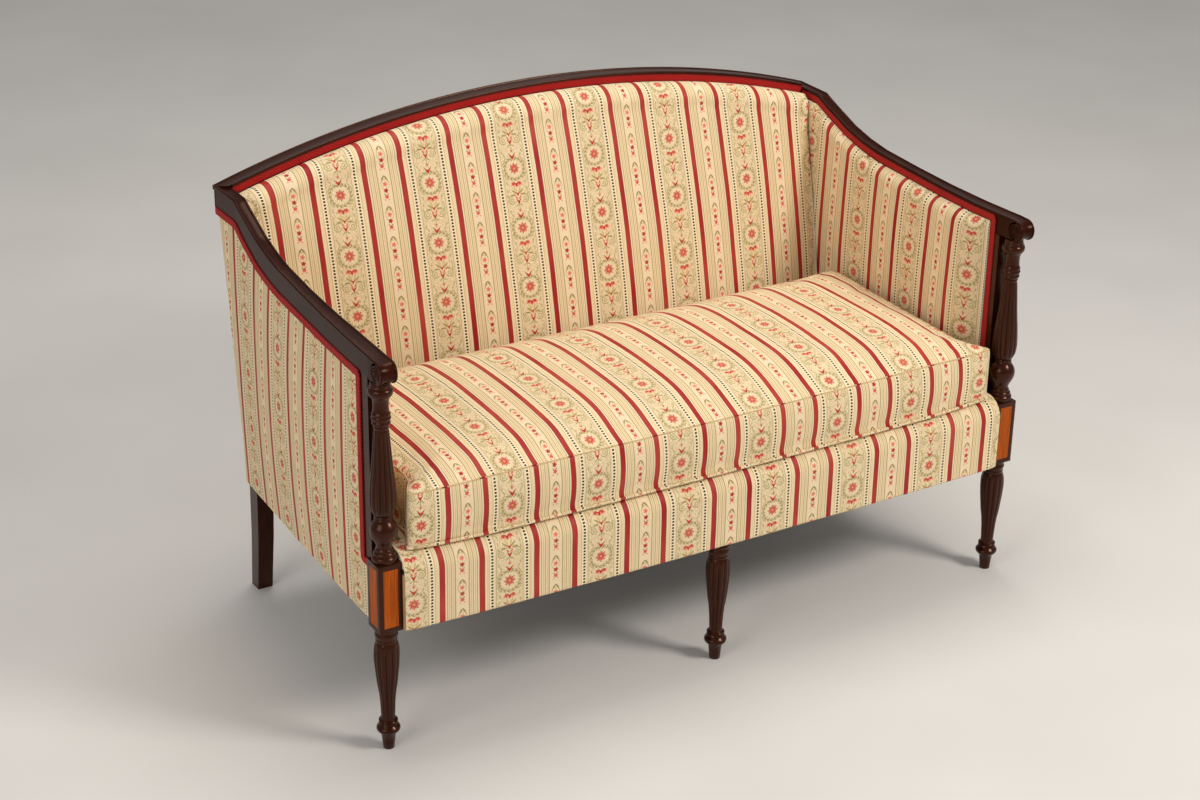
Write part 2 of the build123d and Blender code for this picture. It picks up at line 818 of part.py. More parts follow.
# Arm tack rails, low in each arm between the stile and the rear post
arm_tack_back_y = rear_post_back(side_rail_top) - rear_post_side
arm_tack_rear_outer = rear_post_outer(side_rail_top)
with BuildPart() as arm_tack_rail:
    with BuildSketch(Plane.XY.offset(side_rail_top)):
        with BuildLine():
            Polyline(
                (stile_outer_x - overhang, stile_back_y),
                (stile_outer_x - overhang - tack_rail_thickness, stile_back_y),
                (arm_tack_rear_outer - tack_rail_thickness, arm_tack_back_y),
                (arm_tack_rear_outer, arm_tack_back_y), close=True,
            )
        make_face()
    extrude(amount=tack_rail_height)
finish_pair(arm_tack_rail.part, "arm_tack_rail")

# Seat suspension: zigzag springs clipped to the front and rear rails
spring_z = seat_rail_top + clip_thickness
spring_front_y = front_rail_back_y - clip_length / 2
spring_back_y = rear_rail_back_y - rear_rail_thickness + clip_length / 2
spring_places = [
    between(-spring_half_spread, spring_half_spread, index / (spring_count - 1))
    for index in range(spring_count)
]
with BuildPart() as seat_springs:
    for spring_x in spring_places:
        with BuildSketch(Plane(origin=(spring_x, 0, spring_z))):
            with BuildLine() as zigzag:
                points = [
                    (
                        spring_width / 2 * (1 if index % 2 else -1),
                        between(spring_front_y, spring_back_y, index / spring_turns),
                    )
                    for index in range(spring_turns + 1)
                ]
                Polyline(*points)
            trace(line_width=spring_wire)
        extrude(amount=spring_wire)
finish(seat_springs.part, "seat_springs")

with BuildPart() as spring_clips:
    for spring_x in spring_places:
        for clip_y in (spring_front_y, spring_back_y):
            with Locations((spring_x, clip_y, seat_rail_top + clip_thickness / 2)):
                Box(clip_width, clip_length, clip_thickness)
finish(spring_clips.part, "spring_clips")

# Burlap, deck pad and deck cover above the springs
deck_back_y = back_frame_front(side_rail_top)
deck_lap = overhang + bead_rise


def deck_plan(z, lap, front_y, back_line_y):
    with BuildSketch(Plane.XY.offset(z)) as plan:
        with BuildLine():
            front_x = side_rail_inner(front_y) + lap
            rear_x = side_rail_inner(back_line_y) + lap
            Polyline(
                (-front_x, front_y), (front_x, front_y), (rear_x, back_line_y),
                (-rear_x, back_line_y), close=True,
            )
        make_face()
    return plan.sketch


with BuildPart() as burlap:
    add(deck_plan(side_rail_top, deck_lap, block_back_y + soft_gap, deck_back_y))
    extrude(amount=burlap_thickness)
finish(burlap.part, "spring_burlap")

deck_z = side_rail_top + burlap_thickness
deck_half = arm_inner_half_width - soft_gap
deck_front_y = leg_y + front_roll_back + soft_gap
deck_rear_y = leg_y + back_seat_middle_reach - back_crown_middle
with BuildPart() as deck_pad:
    with Locations((0, (deck_front_y + deck_rear_y) / 2, deck_z + deck_pad_thickness / 2)):
        Box(2 * deck_half, deck_rear_y - deck_front_y, deck_pad_thickness)
finish(deck_pad.part, "deck_pad")

deck_top_z = deck_z + deck_pad_thickness
with BuildPart() as deck_cover:
    with Locations((0, (deck_front_y + deck_rear_y) / 2, deck_top_z + deck_cover_thickness / 2)):
        Box(2 * deck_half, deck_rear_y - deck_front_y, deck_cover_thickness)
finish(deck_cover.part, "deck_cover")

dust_front_y = front_rail_back_y - clip_length / 2
dust_back_y = rear_rail_back_y - rear_rail_thickness / 2
with BuildPart() as dust_cover:
    with BuildSketch(Plane.XY.offset(seat_rail_bottom - dust_cover_thickness)):
        with BuildLine():
            front_x = block_inner_x - soft_gap
            mid_x = side_rail_inner(block_back_y) + side_rail_thickness / 2
            rear_x = side_rail_inner(side_back_y) + side_rail_thickness / 2
            inner_x = rear_rail_half - soft_gap
            Polyline(
                (front_x, dust_front_y), (front_x, block_back_y + soft_gap),
                (mid_x, block_back_y + soft_gap), (rear_x, side_back_y - soft_gap),
                (inner_x, side_back_y - soft_gap), (inner_x, dust_back_y),
                (-inner_x, dust_back_y), (-inner_x, side_back_y - soft_gap),
                (-rear_x, side_back_y - soft_gap), (-mid_x, block_back_y + soft_gap),
                (-front_x, block_back_y + soft_gap), (-front_x, dust_front_y), close=True,
            )
        make_face()
    extrude(amount=dust_cover_thickness)
    with BuildSketch(Plane(origin=(0, middle_leg_y, seat_rail_bottom - dust_cover_thickness))):
        Circle(post_tenon_diameter + soft_gap)
    extrude(amount=dust_cover_thickness, mode=Mode.SUBTRACT)
finish(dust_cover.part, "dust_cover")

# Covered front rail: a padded roll over the rail's top edge, and the fabric over it
cover_half = block_inner_x - soft_gap
bow_stations = (-1.0, -0.6, -0.2, 0.2, 0.6, 1.0)
roll_kink = math.sqrt(0.5)


def cover_front_y(share):
    return leg_y - front_cover_reach - front_cover_bow * (1 - share ** 2)


def front_outline(inset):
    """Points of the roll from the face's bottom to its top, inset from the fabric's face."""
    radius = front_roll_radius - inset
    centre_z = front_cover_top - front_roll_radius
    return radius, centre_z


def front_cover_section(share):
    face_y = cover_front_y(share)
    inner_y = face_y + front_cover_thickness
    radius, centre_z = front_outline(0)
    inner_radius = radius - front_cover_thickness
    centre_y = face_y + radius
    end_y = leg_y + front_roll_back
    low = front_cover_bottom
    with BuildSketch(along(cover_half * share)) as section:
        with BuildLine():
            Line((face_y, low), (face_y, centre_z))
            ThreePointArc(
                (face_y, centre_z),
                (centre_y - radius * roll_kink, centre_z + radius * roll_kink),
                (centre_y, centre_z + radius),
            )
            Polyline(
                (centre_y, centre_z + radius), (end_y, centre_z + radius),
                (end_y, centre_z + inner_radius), (centre_y, centre_z + inner_radius),
            )
            ThreePointArc(
                (centre_y, centre_z + inner_radius),
                (centre_y - inner_radius * roll_kink, centre_z + inner_radius * roll_kink),
                (inner_y, centre_z),
            )
            Polyline(
                (inner_y, centre_z), (inner_y, low + front_cover_thickness),
                (inner_y + front_hem, low + front_cover_thickness), (inner_y + front_hem, low),
                (face_y, low),
            )
        make_face()
    return section.sketch


def front_roll_section(share):
    face_y = cover_front_y(share) + front_cover_thickness + soft_gap
    radius, centre_z = front_outline(front_cover_thickness + soft_gap)
    centre_y = face_y + radius
    end_y = leg_y + front_roll_back
    low = seat_rail_top
    rise = max(0.0, low - centre_z)
    start_y = centre_y - math.sqrt(radius ** 2 - rise ** 2)
    with BuildSketch(along(cover_half * share)) as section:
        with BuildLine():
            ThreePointArc(
                (start_y, low),
                (centre_y - radius * roll_kink, centre_z + radius * roll_kink),
                (centre_y, centre_z + radius),
            )
            Polyline(
                (centre_y, centre_z + radius), (end_y, centre_z + radius), (end_y, low),
                (start_y, low),
            )
        make_face()
    return section.sketch


with BuildPart() as front_rail_cover:
    loft(sections=[front_cover_section(share) for share in bow_stations], ruled=True)
    with BuildSketch(Plane(origin=(0, middle_leg_y, front_cover_bottom))):
        Circle(post_tenon_diameter + soft_gap)
    extrude(amount=seat_rail_bottom - front_cover_bottom, mode=Mode.SUBTRACT)
finish(front_rail_cover.part, "front_rail_cover")

with BuildPart() as front_edge_roll:
    loft(sections=[front_roll_section(share) for share in bow_stations], ruled=True)
    notch_front_y = front_rail_back_y - clip_length - bead_rise
    notch_back_y = leg_y + front_roll_back
    notch_top = deck_z - bead_rise
    with Locations((0, (notch_front_y + notch_back_y) / 2, (seat_rail_top + notch_top) / 2)):
        Box(2 * cover_half, notch_back_y - notch_front_y, notch_top - seat_rail_top, mode=Mode.SUBTRACT)
    with Locations((0, (front_rail_back_y + notch_back_y) / 2, (seat_rail_top + deck_z) / 2)):
        Box(2 * cover_half, notch_back_y - front_rail_back_y, deck_z - seat_rail_top, mode=Mode.SUBTRACT)
finish(front_edge_roll.part, "front_edge_roll")

# Inside back: padding and cover, crowned forward in the middle and rolled back at the top
back_stations = (-1.0, -0.92, -0.78, -0.58, -0.32, 0.0, 0.32, 0.58, 0.78, 0.92, 1.0)
pad_bottom_z = side_rail_top + burlap_thickness + soft_gap


def back_gimp_drop():
    return lip_height + gimp_width


def back_outline(share, inset):
    """Front outline of the inside back at a share of its half width."""
    x = back_half_width * share
    middle = 1 - abs(share) ** 2.2
    seat_y = leg_y + between(back_seat_half_reach, back_seat_middle_reach, middle) + inset
    roll_y = leg_y + between(back_roll_half_reach, back_roll_middle_reach, middle) + inset
    crown = between(back_crown_end, back_crown_middle, middle)
    top_z = arch_z(x, back_gimp_drop()) - inset
    roll_z = top_z - back_roll_drop
    upright_z = pad_bottom_z + back_upright_part
    end_y = crest_front_y - bead_rise
    middle_z = (upright_z + roll_z) / 2
    bend = 0.35
    return {
        "low": (seat_y, pad_bottom_z),
        "seat": (seat_y, upright_z),
        "mid": ((seat_y + roll_y) / 2 - crown, middle_z),
        "roll": (roll_y, roll_z),
        "bend": (between(roll_y, end_y, bend), between(roll_z, top_z, 1 - bend ** 2 + bend / 4)),
        "end": (end_y, top_z),
    }


def back_cover_section(share):
    outer = back_outline(share, 0)
    inner = back_outline(share, inner_cover_thickness)
    with BuildSketch(along(back_half_width * share)) as section:
        with BuildLine():
            Line(outer["low"], outer["seat"])
            ThreePointArc(outer["seat"], outer["mid"], outer["roll"])
            ThreePointArc(outer["roll"], outer["bend"], outer["end"])
            Line(outer["end"], inner["end"])
            ThreePointArc(inner["end"], inner["bend"], inner["roll"])
            ThreePointArc(inner["roll"], inner["mid"], inner["seat"])
            Line(inner["seat"], inner["low"])
            Line(inner["low"], outer["low"])
        make_face()
    return section.sketch


def back_pad_section(share):
    front = back_outline(share, inner_cover_thickness + soft_gap)
    end_y, end_z = front["end"]
    rear_low = back_frame_front(pad_bottom_z)
    rear_high_z = end_z - bead_rise
    rear_high = min(back_frame_front(rear_high_z), crest_front_y + inner_step - soft_gap)
    with BuildSketch(along(back_half_width * share)) as section:
        with BuildLine():
            Line(front["low"], front["seat"])
            ThreePointArc(front["seat"], front["mid"], front["roll"])
            ThreePointArc(front["roll"], front["bend"], front["end"])
            Polyline(front["end"], (rear_high, rear_high_z), (rear_low, pad_bottom_z), front["low"])
        make_face()
    return section.sketch


with BuildPart() as inside_back_cover:
    loft(sections=[back_cover_section(share) for share in back_stations], ruled=True)
finish(inside_back_cover.part, "inside_back_cover")

with BuildPart() as inside_back_pad:
    loft(sections=[back_pad_section(share) for share in back_stations], ruled=True)
finish(inside_back_pad.part, "inside_back_pad")

# Jute webbing across the back frame, stretched over the posts' front faces
with BuildPart() as back_webbing:
    for strap_z in webbing_heights:
        strap_low = strap_z - webbing_width / 2
        strap_high = strap_z + webbing_width / 2
        half = rear_post_outer(strap_z) - rear_post_side / 2
        with BuildSketch(along(-half)):
            with BuildLine():
                low_y = back_post_front(strap_low)
                high_y = back_post_front(strap_high)
                Polyline(
                    (low_y, strap_low), (high_y, strap_high),
                    (high_y - webbing_thickness, strap_high), (low_y - webbing_thickness, strap_low),
                    close=True,
                )
            make_face()
        extrude(amount=2 * half)
finish(back_webbing.part, "back_webbing")

# Inside arms
arm_pad_bottom_z = side_rail_top + arm_pad_bottom_gap
arm_pad_front_y = inner_gimp_y + gimp_width + gimp_gap
arm_pad_stations = sorted(
    [arm_pad_front_y, arm_pad_front_y + 2 * gimp_width, crest_front_y - soft_gap]
    + [y for y in arm_stations if arm_pad_front_y < y < crest_front_y],
    reverse=True,
)


def arm_swell(y):
    """Share of the inside arm's fullness, from nothing at the gimp to all of it."""
    share = (y - arm_pad_front_y) / (4 * gimp_width)
    return math.sin(min(1.0, max(0.0, share)) * math.pi / 2)


def arm_pad_outer(y):
    share = (y - arm_pad_front_y) / (back_frame_front(side_rail_top) - arm_pad_front_y)
    return between(arm_pad_front_half_width, arm_pad_rear_half_width, min(1.0, share))


def arm_outline(y, inset):
    """Points of the inside arm's face, from the deck to the gimp."""
    full = arm_swell(y)
    top_z = arm_top(y) - lip_height - gimp_width - gimp_gap - inset
    top_x = arm_inner(y) + inner_step - inner_cover_thickness - 4 * soft_gap + inset
    edge_x = arm_pad_front_half_width - inner_cover_thickness - 2 * soft_gap - gimp_thickness
    low_x = between(edge_x, arm_inner_half_width + arm_inner_crown, full) + inset
    mid_x = between(edge_x - 2 * soft_gap, arm_inner_half_width, full) + inset
    roll_x = between(edge_x, arm_inner_half_width + 1.5 * arm_inner_crown, full) + inset
    roll_z = top_z - arm_roll_drop
    return {
        "low": (low_x, arm_pad_bottom_z),
        "mid": (mid_x, (arm_pad_bottom_z + roll_z) / 2),
        "roll": (roll_x, roll_z),
        "bend": (between(roll_x, top_x, 0.35), between(roll_z, top_z, 0.72)),
        "end": (top_x, top_z),
    }


def arm_cover_section(y):
    outer = arm_outline(y, 0)
    inner = arm_outline(y, inner_cover_thickness)
    with BuildSketch(across(y)) as section:
        with BuildLine():
            ThreePointArc(outer["low"], outer["mid"], outer["roll"])
            ThreePointArc(outer["roll"], outer["bend"], outer["end"])
            Line(outer["end"], inner["end"])
            ThreePointArc(inner["end"], inner["bend"], inner["roll"])
            ThreePointArc(inner["roll"], inner["mid"], inner["low"])
            Line(inner["low"], outer["low"])
        make_face()
    return section.sketch


def arm_pad_section(y):
    front = arm_outline(y, inner_cover_thickness + soft_gap)
    rear_x = arm_pad_outer(y)
    wood_x = min(arm_inner(y) + inner_step, stile_inner_x) - gimp_gap / 2
    under_z = arm_top(y) - arm_face(y) - gimp_width - soft_gap
    with BuildSketch(across(y)) as section:
        with BuildLine():
            ThreePointArc(front["low"], front["mid"], front["roll"])
            ThreePointArc(front["roll"], front["bend"], front["end"])
            Polyline(
                front["end"], (wood_x, front["end"][1]), (wood_x, under_z),
                (rear_x, under_z - gimp_width), (rear_x, arm_pad_bottom_z), front["low"],
            )
        make_face()
    return section.sketch


rake_plane = Plane(
    origin=(0, back_frame_front(side_rail_top), side_rail_top), z_dir=(0, -1, back_slope)
)
with BuildPart() as inside_arm_cover:
    loft(sections=[arm_cover_section(y) for y in arm_pad_stations], ruled=True)
    split(bisect_by=rake_plane, keep=Keep.TOP)
finish_pair(inside_arm_cover.part, "inside_arm_cover")

with BuildPart() as inside_arm_pad:
    loft(sections=[arm_pad_section(y) for y in arm_pad_stations], ruled=True)
    split(bisect_by=rake_plane, keep=Keep.TOP)
finish_pair(inside_arm_pad.part, "inside_arm_pad")

# Outside arms
outer_front_y = block_back_y + soft_gap
outer_stations = sorted(
    [outer_front_y, rear_post_back(post_top_z)] + [y for y in arm_stations if outer_front_y < y < back_y],
    reverse=True,
)
outer_bulge_shares = ((0.0, 0.0), (0.15, 0.45), (0.4, 1.0), (0.7, 0.9), (0.9, 0.35), (1.0, 0.1))


def outer_share(y):
    return (y - outer_front_y) / (rear_post_back(post_top_z) - outer_front_y)


def outer_arm_section(y):
    share = outer_share(y)
    top_z = arm_top(y) - arm_face(y) - gimp_width - gimp_gap
    top_x = arm_outer(y) - overhang
    low_x = between(outer_front_half_width, outer_rear_half_width, share ** 1.3)
    bulge = outer_bulge * read_table(outer_bulge_shares, share)
    mid_x = (top_x + low_x) / 2 + bulge
    mid_z = between(outer_bottom, top_z, 0.45)
    thick = cover_thickness
    with BuildSketch(across(y)) as section:
        with BuildLine():
            ThreePointArc((low_x, outer_bottom), (mid_x, mid_z), (top_x, top_z))
            Line((top_x, top_z), (top_x - thick, top_z))
            ThreePointArc((top_x - thick, top_z), (mid_x - thick, mid_z), (low_x - thick, outer_bottom))
            Line((low_x - thick, outer_bottom), (low_x, outer_bottom))
        make_face()
    return section.sketch


outside_levels = [outer_bottom] + [z for z in rear_post_levels if z > outer_bottom] + [
    crest_height - crest_face
]


def outside_back_y(z):
    """Depth of the outside back's cover: on the posts, then up to the crest rail."""
    if z > post_top_z:
        rise = (z - post_top_z) / (crest_height - crest_face - post_top_z)
        return between(rear_post_back(post_top_z), back_y - tack_step - cover_thickness, rise)
    return rear_post_back(z)


with BuildPart() as outside_arm_cover:
    loft(sections=[outer_arm_section(y) for y in outer_stations], ruled=True)
    jog_back = leg_y + outer_gimp_front + gimp_width
    with Locations((post_half_spacing, jog_back - overrun, side_rail_top + post_height / 2)):
        Box(4 * overrun, 2 * overrun, post_height, mode=Mode.SUBTRACT)
    with BuildSketch(along(rear_foot_half_width - overrun)):
        with BuildLine():
            rim = [(outside_back_y(z), z) for z in outside_levels]
            Polyline(
                (back_y + overrun, outer_bottom), *rim, (back_y + overrun, outside_levels[-1]),
                close=True,
            )
        make_face()
    extrude(amount=3 * overrun, mode=Mode.SUBTRACT)
finish_pair(outside_arm_cover.part, "outside_arm_cover")

# Outside back: one flat cover over the posts' back faces, cut to the arch
with BuildPart() as outside_back_cover:
    with BuildSketch(along(-rear_top_half_width)):
        with BuildLine():
            near = [(outside_back_y(z) + gimp_gap, z) for z in outside_levels]
            far = [(y + cover_thickness, z) for y, z in reversed(near)]
            Polyline(*near, *far, close=True)
        make_face()
    extrude(amount=2 * rear_top_half_width)
    with BuildSketch(across(back_y + overrun)):
        with BuildLine():
            half = corner_x + overrun
            low_end = (half, arch_z(half, crest_face + gimp_width + gimp_gap))
            low_start = (-half, low_end[1])
            ThreePointArc(low_start, (0, arch_z(0, crest_face + gimp_width + gimp_gap)), low_end)
            Polyline(low_end, (half, crest_height + overrun), (-half, crest_height + overrun), low_start)
        make_face()
    extrude(amount=-4 * overrun, both=True, mode=Mode.SUBTRACT)
    for side in (1, -1):
        with Locations((side * (return_inner_x + overrun - gimp_gap), back_y, return_rail_bottom + overrun)):
            Box(2 * overrun, 4 * overrun, 2 * overrun, mode=Mode.SUBTRACT)
finish(outside_back_cover.part, "outside_back_cover")

# Gimps
gimp_front_y = crest_front_y
with BuildPart() as inside_back_gimp:
    add(arched_strip(
        crest_front_y + gimp_gap / 2, crest_front_y + inner_step, lip_height + gimp_gap,
        lip_height + gimp_width,
    ))
    with Locations((0, 0, 0)):
        Box(2 * return_inner_x, 4 * back_reach, 4 * crest_height, mode=Mode.INTERSECT)
finish(inside_back_gimp.part, "inside_back_gimp")

with BuildPart() as outside_back_gimp:
    add(arched_strip(
        back_y - tack_step + gimp_gap / 2, back_y - tack_step + gimp_thickness, crest_face + gimp_gap,
        crest_face + gimp_width,
    ))
    with Locations((0, 0, 0)):
        Box(2 * rear_top_half_width, 4 * back_reach, 4 * crest_height, mode=Mode.INTERSECT)
finish(outside_back_gimp.part, "outside_back_gimp")


def inner_gimp_section(y):
    x = arm_inner(y)
    return arm_strip_section(
        y, x + gimp_gap, x + inner_step - gimp_gap / 2, arm_top(y) - lip_height - gimp_width,
        arm_top(y) - lip_height - gimp_gap,
    )


inner_gimp_stations = [
    y for y in arm_stations if inner_gimp_y <= y < crest_front_y
]
stile_gimp_x = stile_inner_x - gimp_thickness
stile_gimp_low = pad_bottom_z
with BuildPart() as inside_arm_gimp:
    loft(
        sections=[inner_gimp_section(y) for y in [crest_front_y - gimp_gap] + inner_gimp_stations],
        ruled=True,
    )
    gimp_top = arm_top(inner_gimp_y) - lip_height - 2 * gimp_gap
    with Locations((
        stile_gimp_x + gimp_thickness / 2 - gimp_gap,
        inner_gimp_y + gimp_width / 2,
        (stile_gimp_low + gimp_top) / 2,
    )):
        Box(gimp_thickness, gimp_width, gimp_top - stile_gimp_low)
finish_pair(inside_arm_gimp.part, "inside_arm_gimp")


def outer_gimp_section(y):
    x = arm_outer(y)
    low = arm_top(y) - arm_face(y) - gimp_width
    return arm_strip_section(
        y, x - tack_step + gimp_gap / 2, x - tack_step + gimp_thickness, low,
        low + gimp_width - gimp_gap,
    )


outer_gimp_stations = [y for y in arm_stations if outer_gimp_y <= y < back_y]
outer_gimp_back_y = back_y - 4 * overhang
stile_face_x = arm_outer(inner_gimp_y) - overhang
with BuildPart() as outside_arm_gimp:
    loft(
        sections=[outer_gimp_section(y) for y in [outer_gimp_back_y] + outer_gimp_stations],
        ruled=True,
    )
    outer_gimp_top = arm_top(outer_gimp_y) - arm_face(outer_gimp_y) - gimp_gap
    with Locations((
        stile_face_x + gimp_thickness / 2,
        outer_gimp_y + gimp_width / 2,
        (side_rail_top + outer_gimp_top) / 2,
    )):
        Box(gimp_thickness, gimp_width, outer_gimp_top - side_rail_top)
    with Locations((
        stile_face_x + gimp_thickness / 2,
        (outer_front_y + outer_gimp_y + gimp_width) / 2,
        side_rail_top - gimp_width / 2,
    )):
        Box(gimp_thickness, outer_gimp_y + gimp_width - outer_front_y, gimp_width)
    with Locations((
        stile_face_x + gimp_thickness / 2,
        outer_front_y + gimp_width / 2,
        (side_rail_top + outer_bottom) / 2,
    )):
        Box(gimp_thickness, gimp_width, side_rail_top - outer_bottom)
finish_pair(outside_arm_gimp.part, "outside_arm_gimp")

# Loose seat cushion
body_half = cushion_half_width - welt_diameter - soft_gap
cushion_stations = (-1.0, -0.97, -0.88, -0.7, -0.4, 0.0, 0.4, 0.7, 0.88, 0.97, 1.0)
cushion_back_y = leg_y + cushion_back


def cushion_fullness(share):
    return 1 - abs(share) ** 4


def cushion_section(share):
    full = cushion_fullness(share)
    front_y = leg_y - cushion_front - cushion_front_bow * (1 - share ** 2)
    draw = bead_rise * (1 - full)
    low = cushion_bottom
    seam = cushion_seam - draw
    crown_z = seam + between(cushion_crown / 3, cushion_crown, full)
    front_mid = front_y - cushion_side_bulge * full
    centre_y = (front_y + cushion_back_y) / 2
    with BuildSketch(along(body_half * share)) as section:
        with BuildLine():
            ThreePointArc((front_y, low), (front_mid - gimp_gap, (low + seam) / 2), (front_y, seam))
            ThreePointArc((front_y, seam), (centre_y, crown_z), (cushion_back_y, seam))
            Line((cushion_back_y, seam), (cushion_back_y, low))
            Line((cushion_back_y, low), (front_y, low))
        make_face()
    return section.sketch


core_z = cushion_bottom + core_clearance + (cushion_seam - cushion_bottom) / 2
core_y = (leg_y - cushion_front + cushion_back_y) / 2
with BuildPart() as cushion_cover:
    loft(sections=[cushion_section(share) for share in cushion_stations], ruled=True)
    with Locations((0, core_y, core_z)):
        Box(
            core_length + 2 * core_clearance, core_depth + 2 * core_clearance,
            core_height + 2 * core_clearance, mode=Mode.SUBTRACT,
        )
finish(cushion_cover.part, "cushion_cover")

with BuildPart() as cushion_core:
    with Locations((0, core_y, core_z)):
        Box(core_length, core_depth, core_height)
finish(cushion_core.part, "cushion_core")

welt_inner_half = cushion_half_width - welt_diameter
welt_front = cushion_front + 3 * soft_gap
welt_back_y = cushion_back_y + soft_gap
welt_flat = welt_diameter * (1 - math.sqrt(2) / 2) / 2 * math.sqrt(2)


def welt_ring(z, outset):
    """Plan of the welt's ring, from its inner edge to an outset."""
    with BuildSketch(Plane.XY.offset(z)) as ring:
        half = welt_inner_half + outset
        reach = welt_front + outset
        rear = welt_back_y + outset
        with BuildLine():
            ThreePointArc((-half, leg_y - reach), (0, leg_y - reach - cushion_front_bow), (half, leg_y - reach))
            Polyline((half, leg_y - reach), (half, rear), (-half, rear), (-half, leg_y - reach))
        make_face()
    return ring.sketch


with BuildPart() as cushion_welt:
    add(welt_ring(cushion_bottom, welt_diameter))
    extrude(amount=welt_diameter)
    add(welt_ring(cushion_bottom, 0))
    extrude(amount=welt_diameter, mode=Mode.SUBTRACT)
    chamfer(
        cushion_welt.edges().filter_by(Axis.Z, reverse=True), length=welt_flat
    )
finish(cushion_welt.part, "cushion_welt")

zip_z = (cushion_bottom + cushion_seam) / 2
with BuildPart() as cushion_zip:
    with Locations((0, cushion_back_y + zip_thickness / 2, zip_z)):
        Box(zip_length, zip_thickness, zip_width)
finish(cushion_zip.part, "cushion_zip")
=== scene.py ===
import math

import bpy
from mathutils import Matrix, Vector, kdtree, noise


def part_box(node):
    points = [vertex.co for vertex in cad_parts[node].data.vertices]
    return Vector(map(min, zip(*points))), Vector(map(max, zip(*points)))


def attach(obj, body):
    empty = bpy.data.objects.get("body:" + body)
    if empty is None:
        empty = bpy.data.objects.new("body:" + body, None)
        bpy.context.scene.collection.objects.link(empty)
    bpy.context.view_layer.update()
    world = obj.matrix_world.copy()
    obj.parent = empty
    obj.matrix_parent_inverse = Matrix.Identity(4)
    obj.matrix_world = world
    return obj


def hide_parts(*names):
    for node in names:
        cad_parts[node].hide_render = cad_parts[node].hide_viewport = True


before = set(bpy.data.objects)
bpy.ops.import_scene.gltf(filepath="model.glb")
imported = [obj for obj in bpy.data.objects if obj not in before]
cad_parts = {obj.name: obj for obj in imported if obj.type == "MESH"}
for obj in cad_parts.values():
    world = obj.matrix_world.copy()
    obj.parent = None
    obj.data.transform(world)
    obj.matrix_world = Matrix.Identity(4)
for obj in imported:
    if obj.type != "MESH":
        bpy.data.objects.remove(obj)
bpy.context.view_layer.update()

mm = 0.001

# Sizes of the settee in millimetres, the same as the solid model's
LEG_Y = -321.6
BACK_Y = LEG_Y + 692.6
CREST_DEPTH = 36.5
CREST_FRONT_Y = BACK_Y - CREST_DEPTH
CREST_HEIGHT = 917.6
CREST_END = 813.7
CORNER_X = 653.4
RETURN_HEIGHT = 814.5
ARM_HEIGHT = 742.0
CREASE_REACH = 600.0
POST_X = 660.0
LEG_LENGTH = 239.5
BLOCK_SIDE = 44.4
BLOCK_TOP = 369.1
SIDE_RAIL_TOP = 357.0
GIMP_WIDTH = 15.0
GIMP_RISE = 1.8
INNER_STEP = 2.0
LIP = 5.0
CREST_FACE = 37.5
RAIL_FACE = 41.0
OVERHANG = 2.5
BEAD_WIDTH = 5.0
BEAD_RISE = 2.0
RISE = CREST_HEIGHT - CREST_END
ARCH_RADIUS = (CORNER_X ** 2 + RISE ** 2) / (2 * RISE)
ARCH_CENTRE = CREST_HEIGHT - ARCH_RADIUS
POST_TOP = RETURN_HEIGHT - RAIL_FACE - GIMP_WIDTH + OVERHANG
INSIDE_EDGE = LEG_Y + 37  # front edge of the tacking on the inside of an arm
OUTSIDE_EDGE = LEG_Y + 50  # and on its outside
INSIDE_LOW = SIDE_RAIL_TOP + 1.6  # lower edge of the inside arm covers
COVER_LOW = 237.0  # lower edge of the outside covers
CLEAR = 0.2  # between a cover's edge and the gimp's tacking line
BACK_HALF = 609.8  # half the inside back's width
SEAT_HALF = 611.3  # half the width between the inside arms

ARM_FALL = (
    (0.000, 1.000), (0.167, 1.020), (0.333, 1.000), (0.500, 0.938), (0.667, 0.849), (0.750, 0.740),
    (0.833, 0.562), (0.900, 0.345), (0.950, 0.180), (1.000, 0.000),
)
ARM_FACE = ((0.000, 1.00), (0.500, 1.02), (0.700, 1.10), (0.850, 1.18), (0.950, 1.12), (1.000, 1.00))
ARM_WIDTH = ((0.000, 1.00), (0.170, 0.90), (0.300, 0.50), (0.500, 0.05), (1.000, 0.00))


def between(low, high, share):
    return low + (high - low) * share


def clamped(value, low=0.0, high=1.0):
    return min(high, max(low, value))


def table(rows, share):
    """Smooth value through the rows of a table of (share, value)."""
    share = clamped(share, rows[0][0], rows[-1][0])
    index = next(i for i in range(len(rows) - 1) if share <= rows[i + 1][0])
    (s0, v0), (s1, v1) = rows[index], rows[index + 1]
    before, after = rows[max(index - 1, 0)], rows[min(index + 2, len(rows) - 1)]
    h = s1 - s0
    m0, m1 = (v1 - before[1]) / (s1 - before[0]), (after[1] - v0) / (after[0] - s0)
    t = (share - s0) / h
    return (
        (2 * t ** 3 - 3 * t ** 2 + 1) * v0 + (t ** 3 - 2 * t ** 2 + t) * h * m0
        + (3 * t ** 2 - 2 * t ** 3) * v1 + (t ** 3 - t ** 2) * h * m1
    )


def straight_table(rows, share):
    """Value on the straight lines between the rows of a table of (share, value)."""
    share = clamped(share, rows[0][0], rows[-1][0])
    (s0, v0), (s1, v1) = next(pair for pair in zip(rows, rows[1:]) if share <= pair[1][0])
    return between(v0, v1, (share - s0) / (s1 - s0))


def ripple(x, y, z):
    return noise.noise(Vector((x, y, z)))


def arch_z(x, drop):
    return ARCH_CENTRE + math.sqrt((ARCH_RADIUS - drop) ** 2 - x ** 2)


def arm_share(y):
    return clamped((y - LEG_Y) / CREASE_REACH)


def arm_top(y):
    return RETURN_HEIGHT - (RETURN_HEIGHT - ARM_HEIGHT) * straight_table(ARM_FALL, arm_share(y))


def arm_face(y):
    return RAIL_FACE * straight_table(ARM_FACE, arm_share(y))


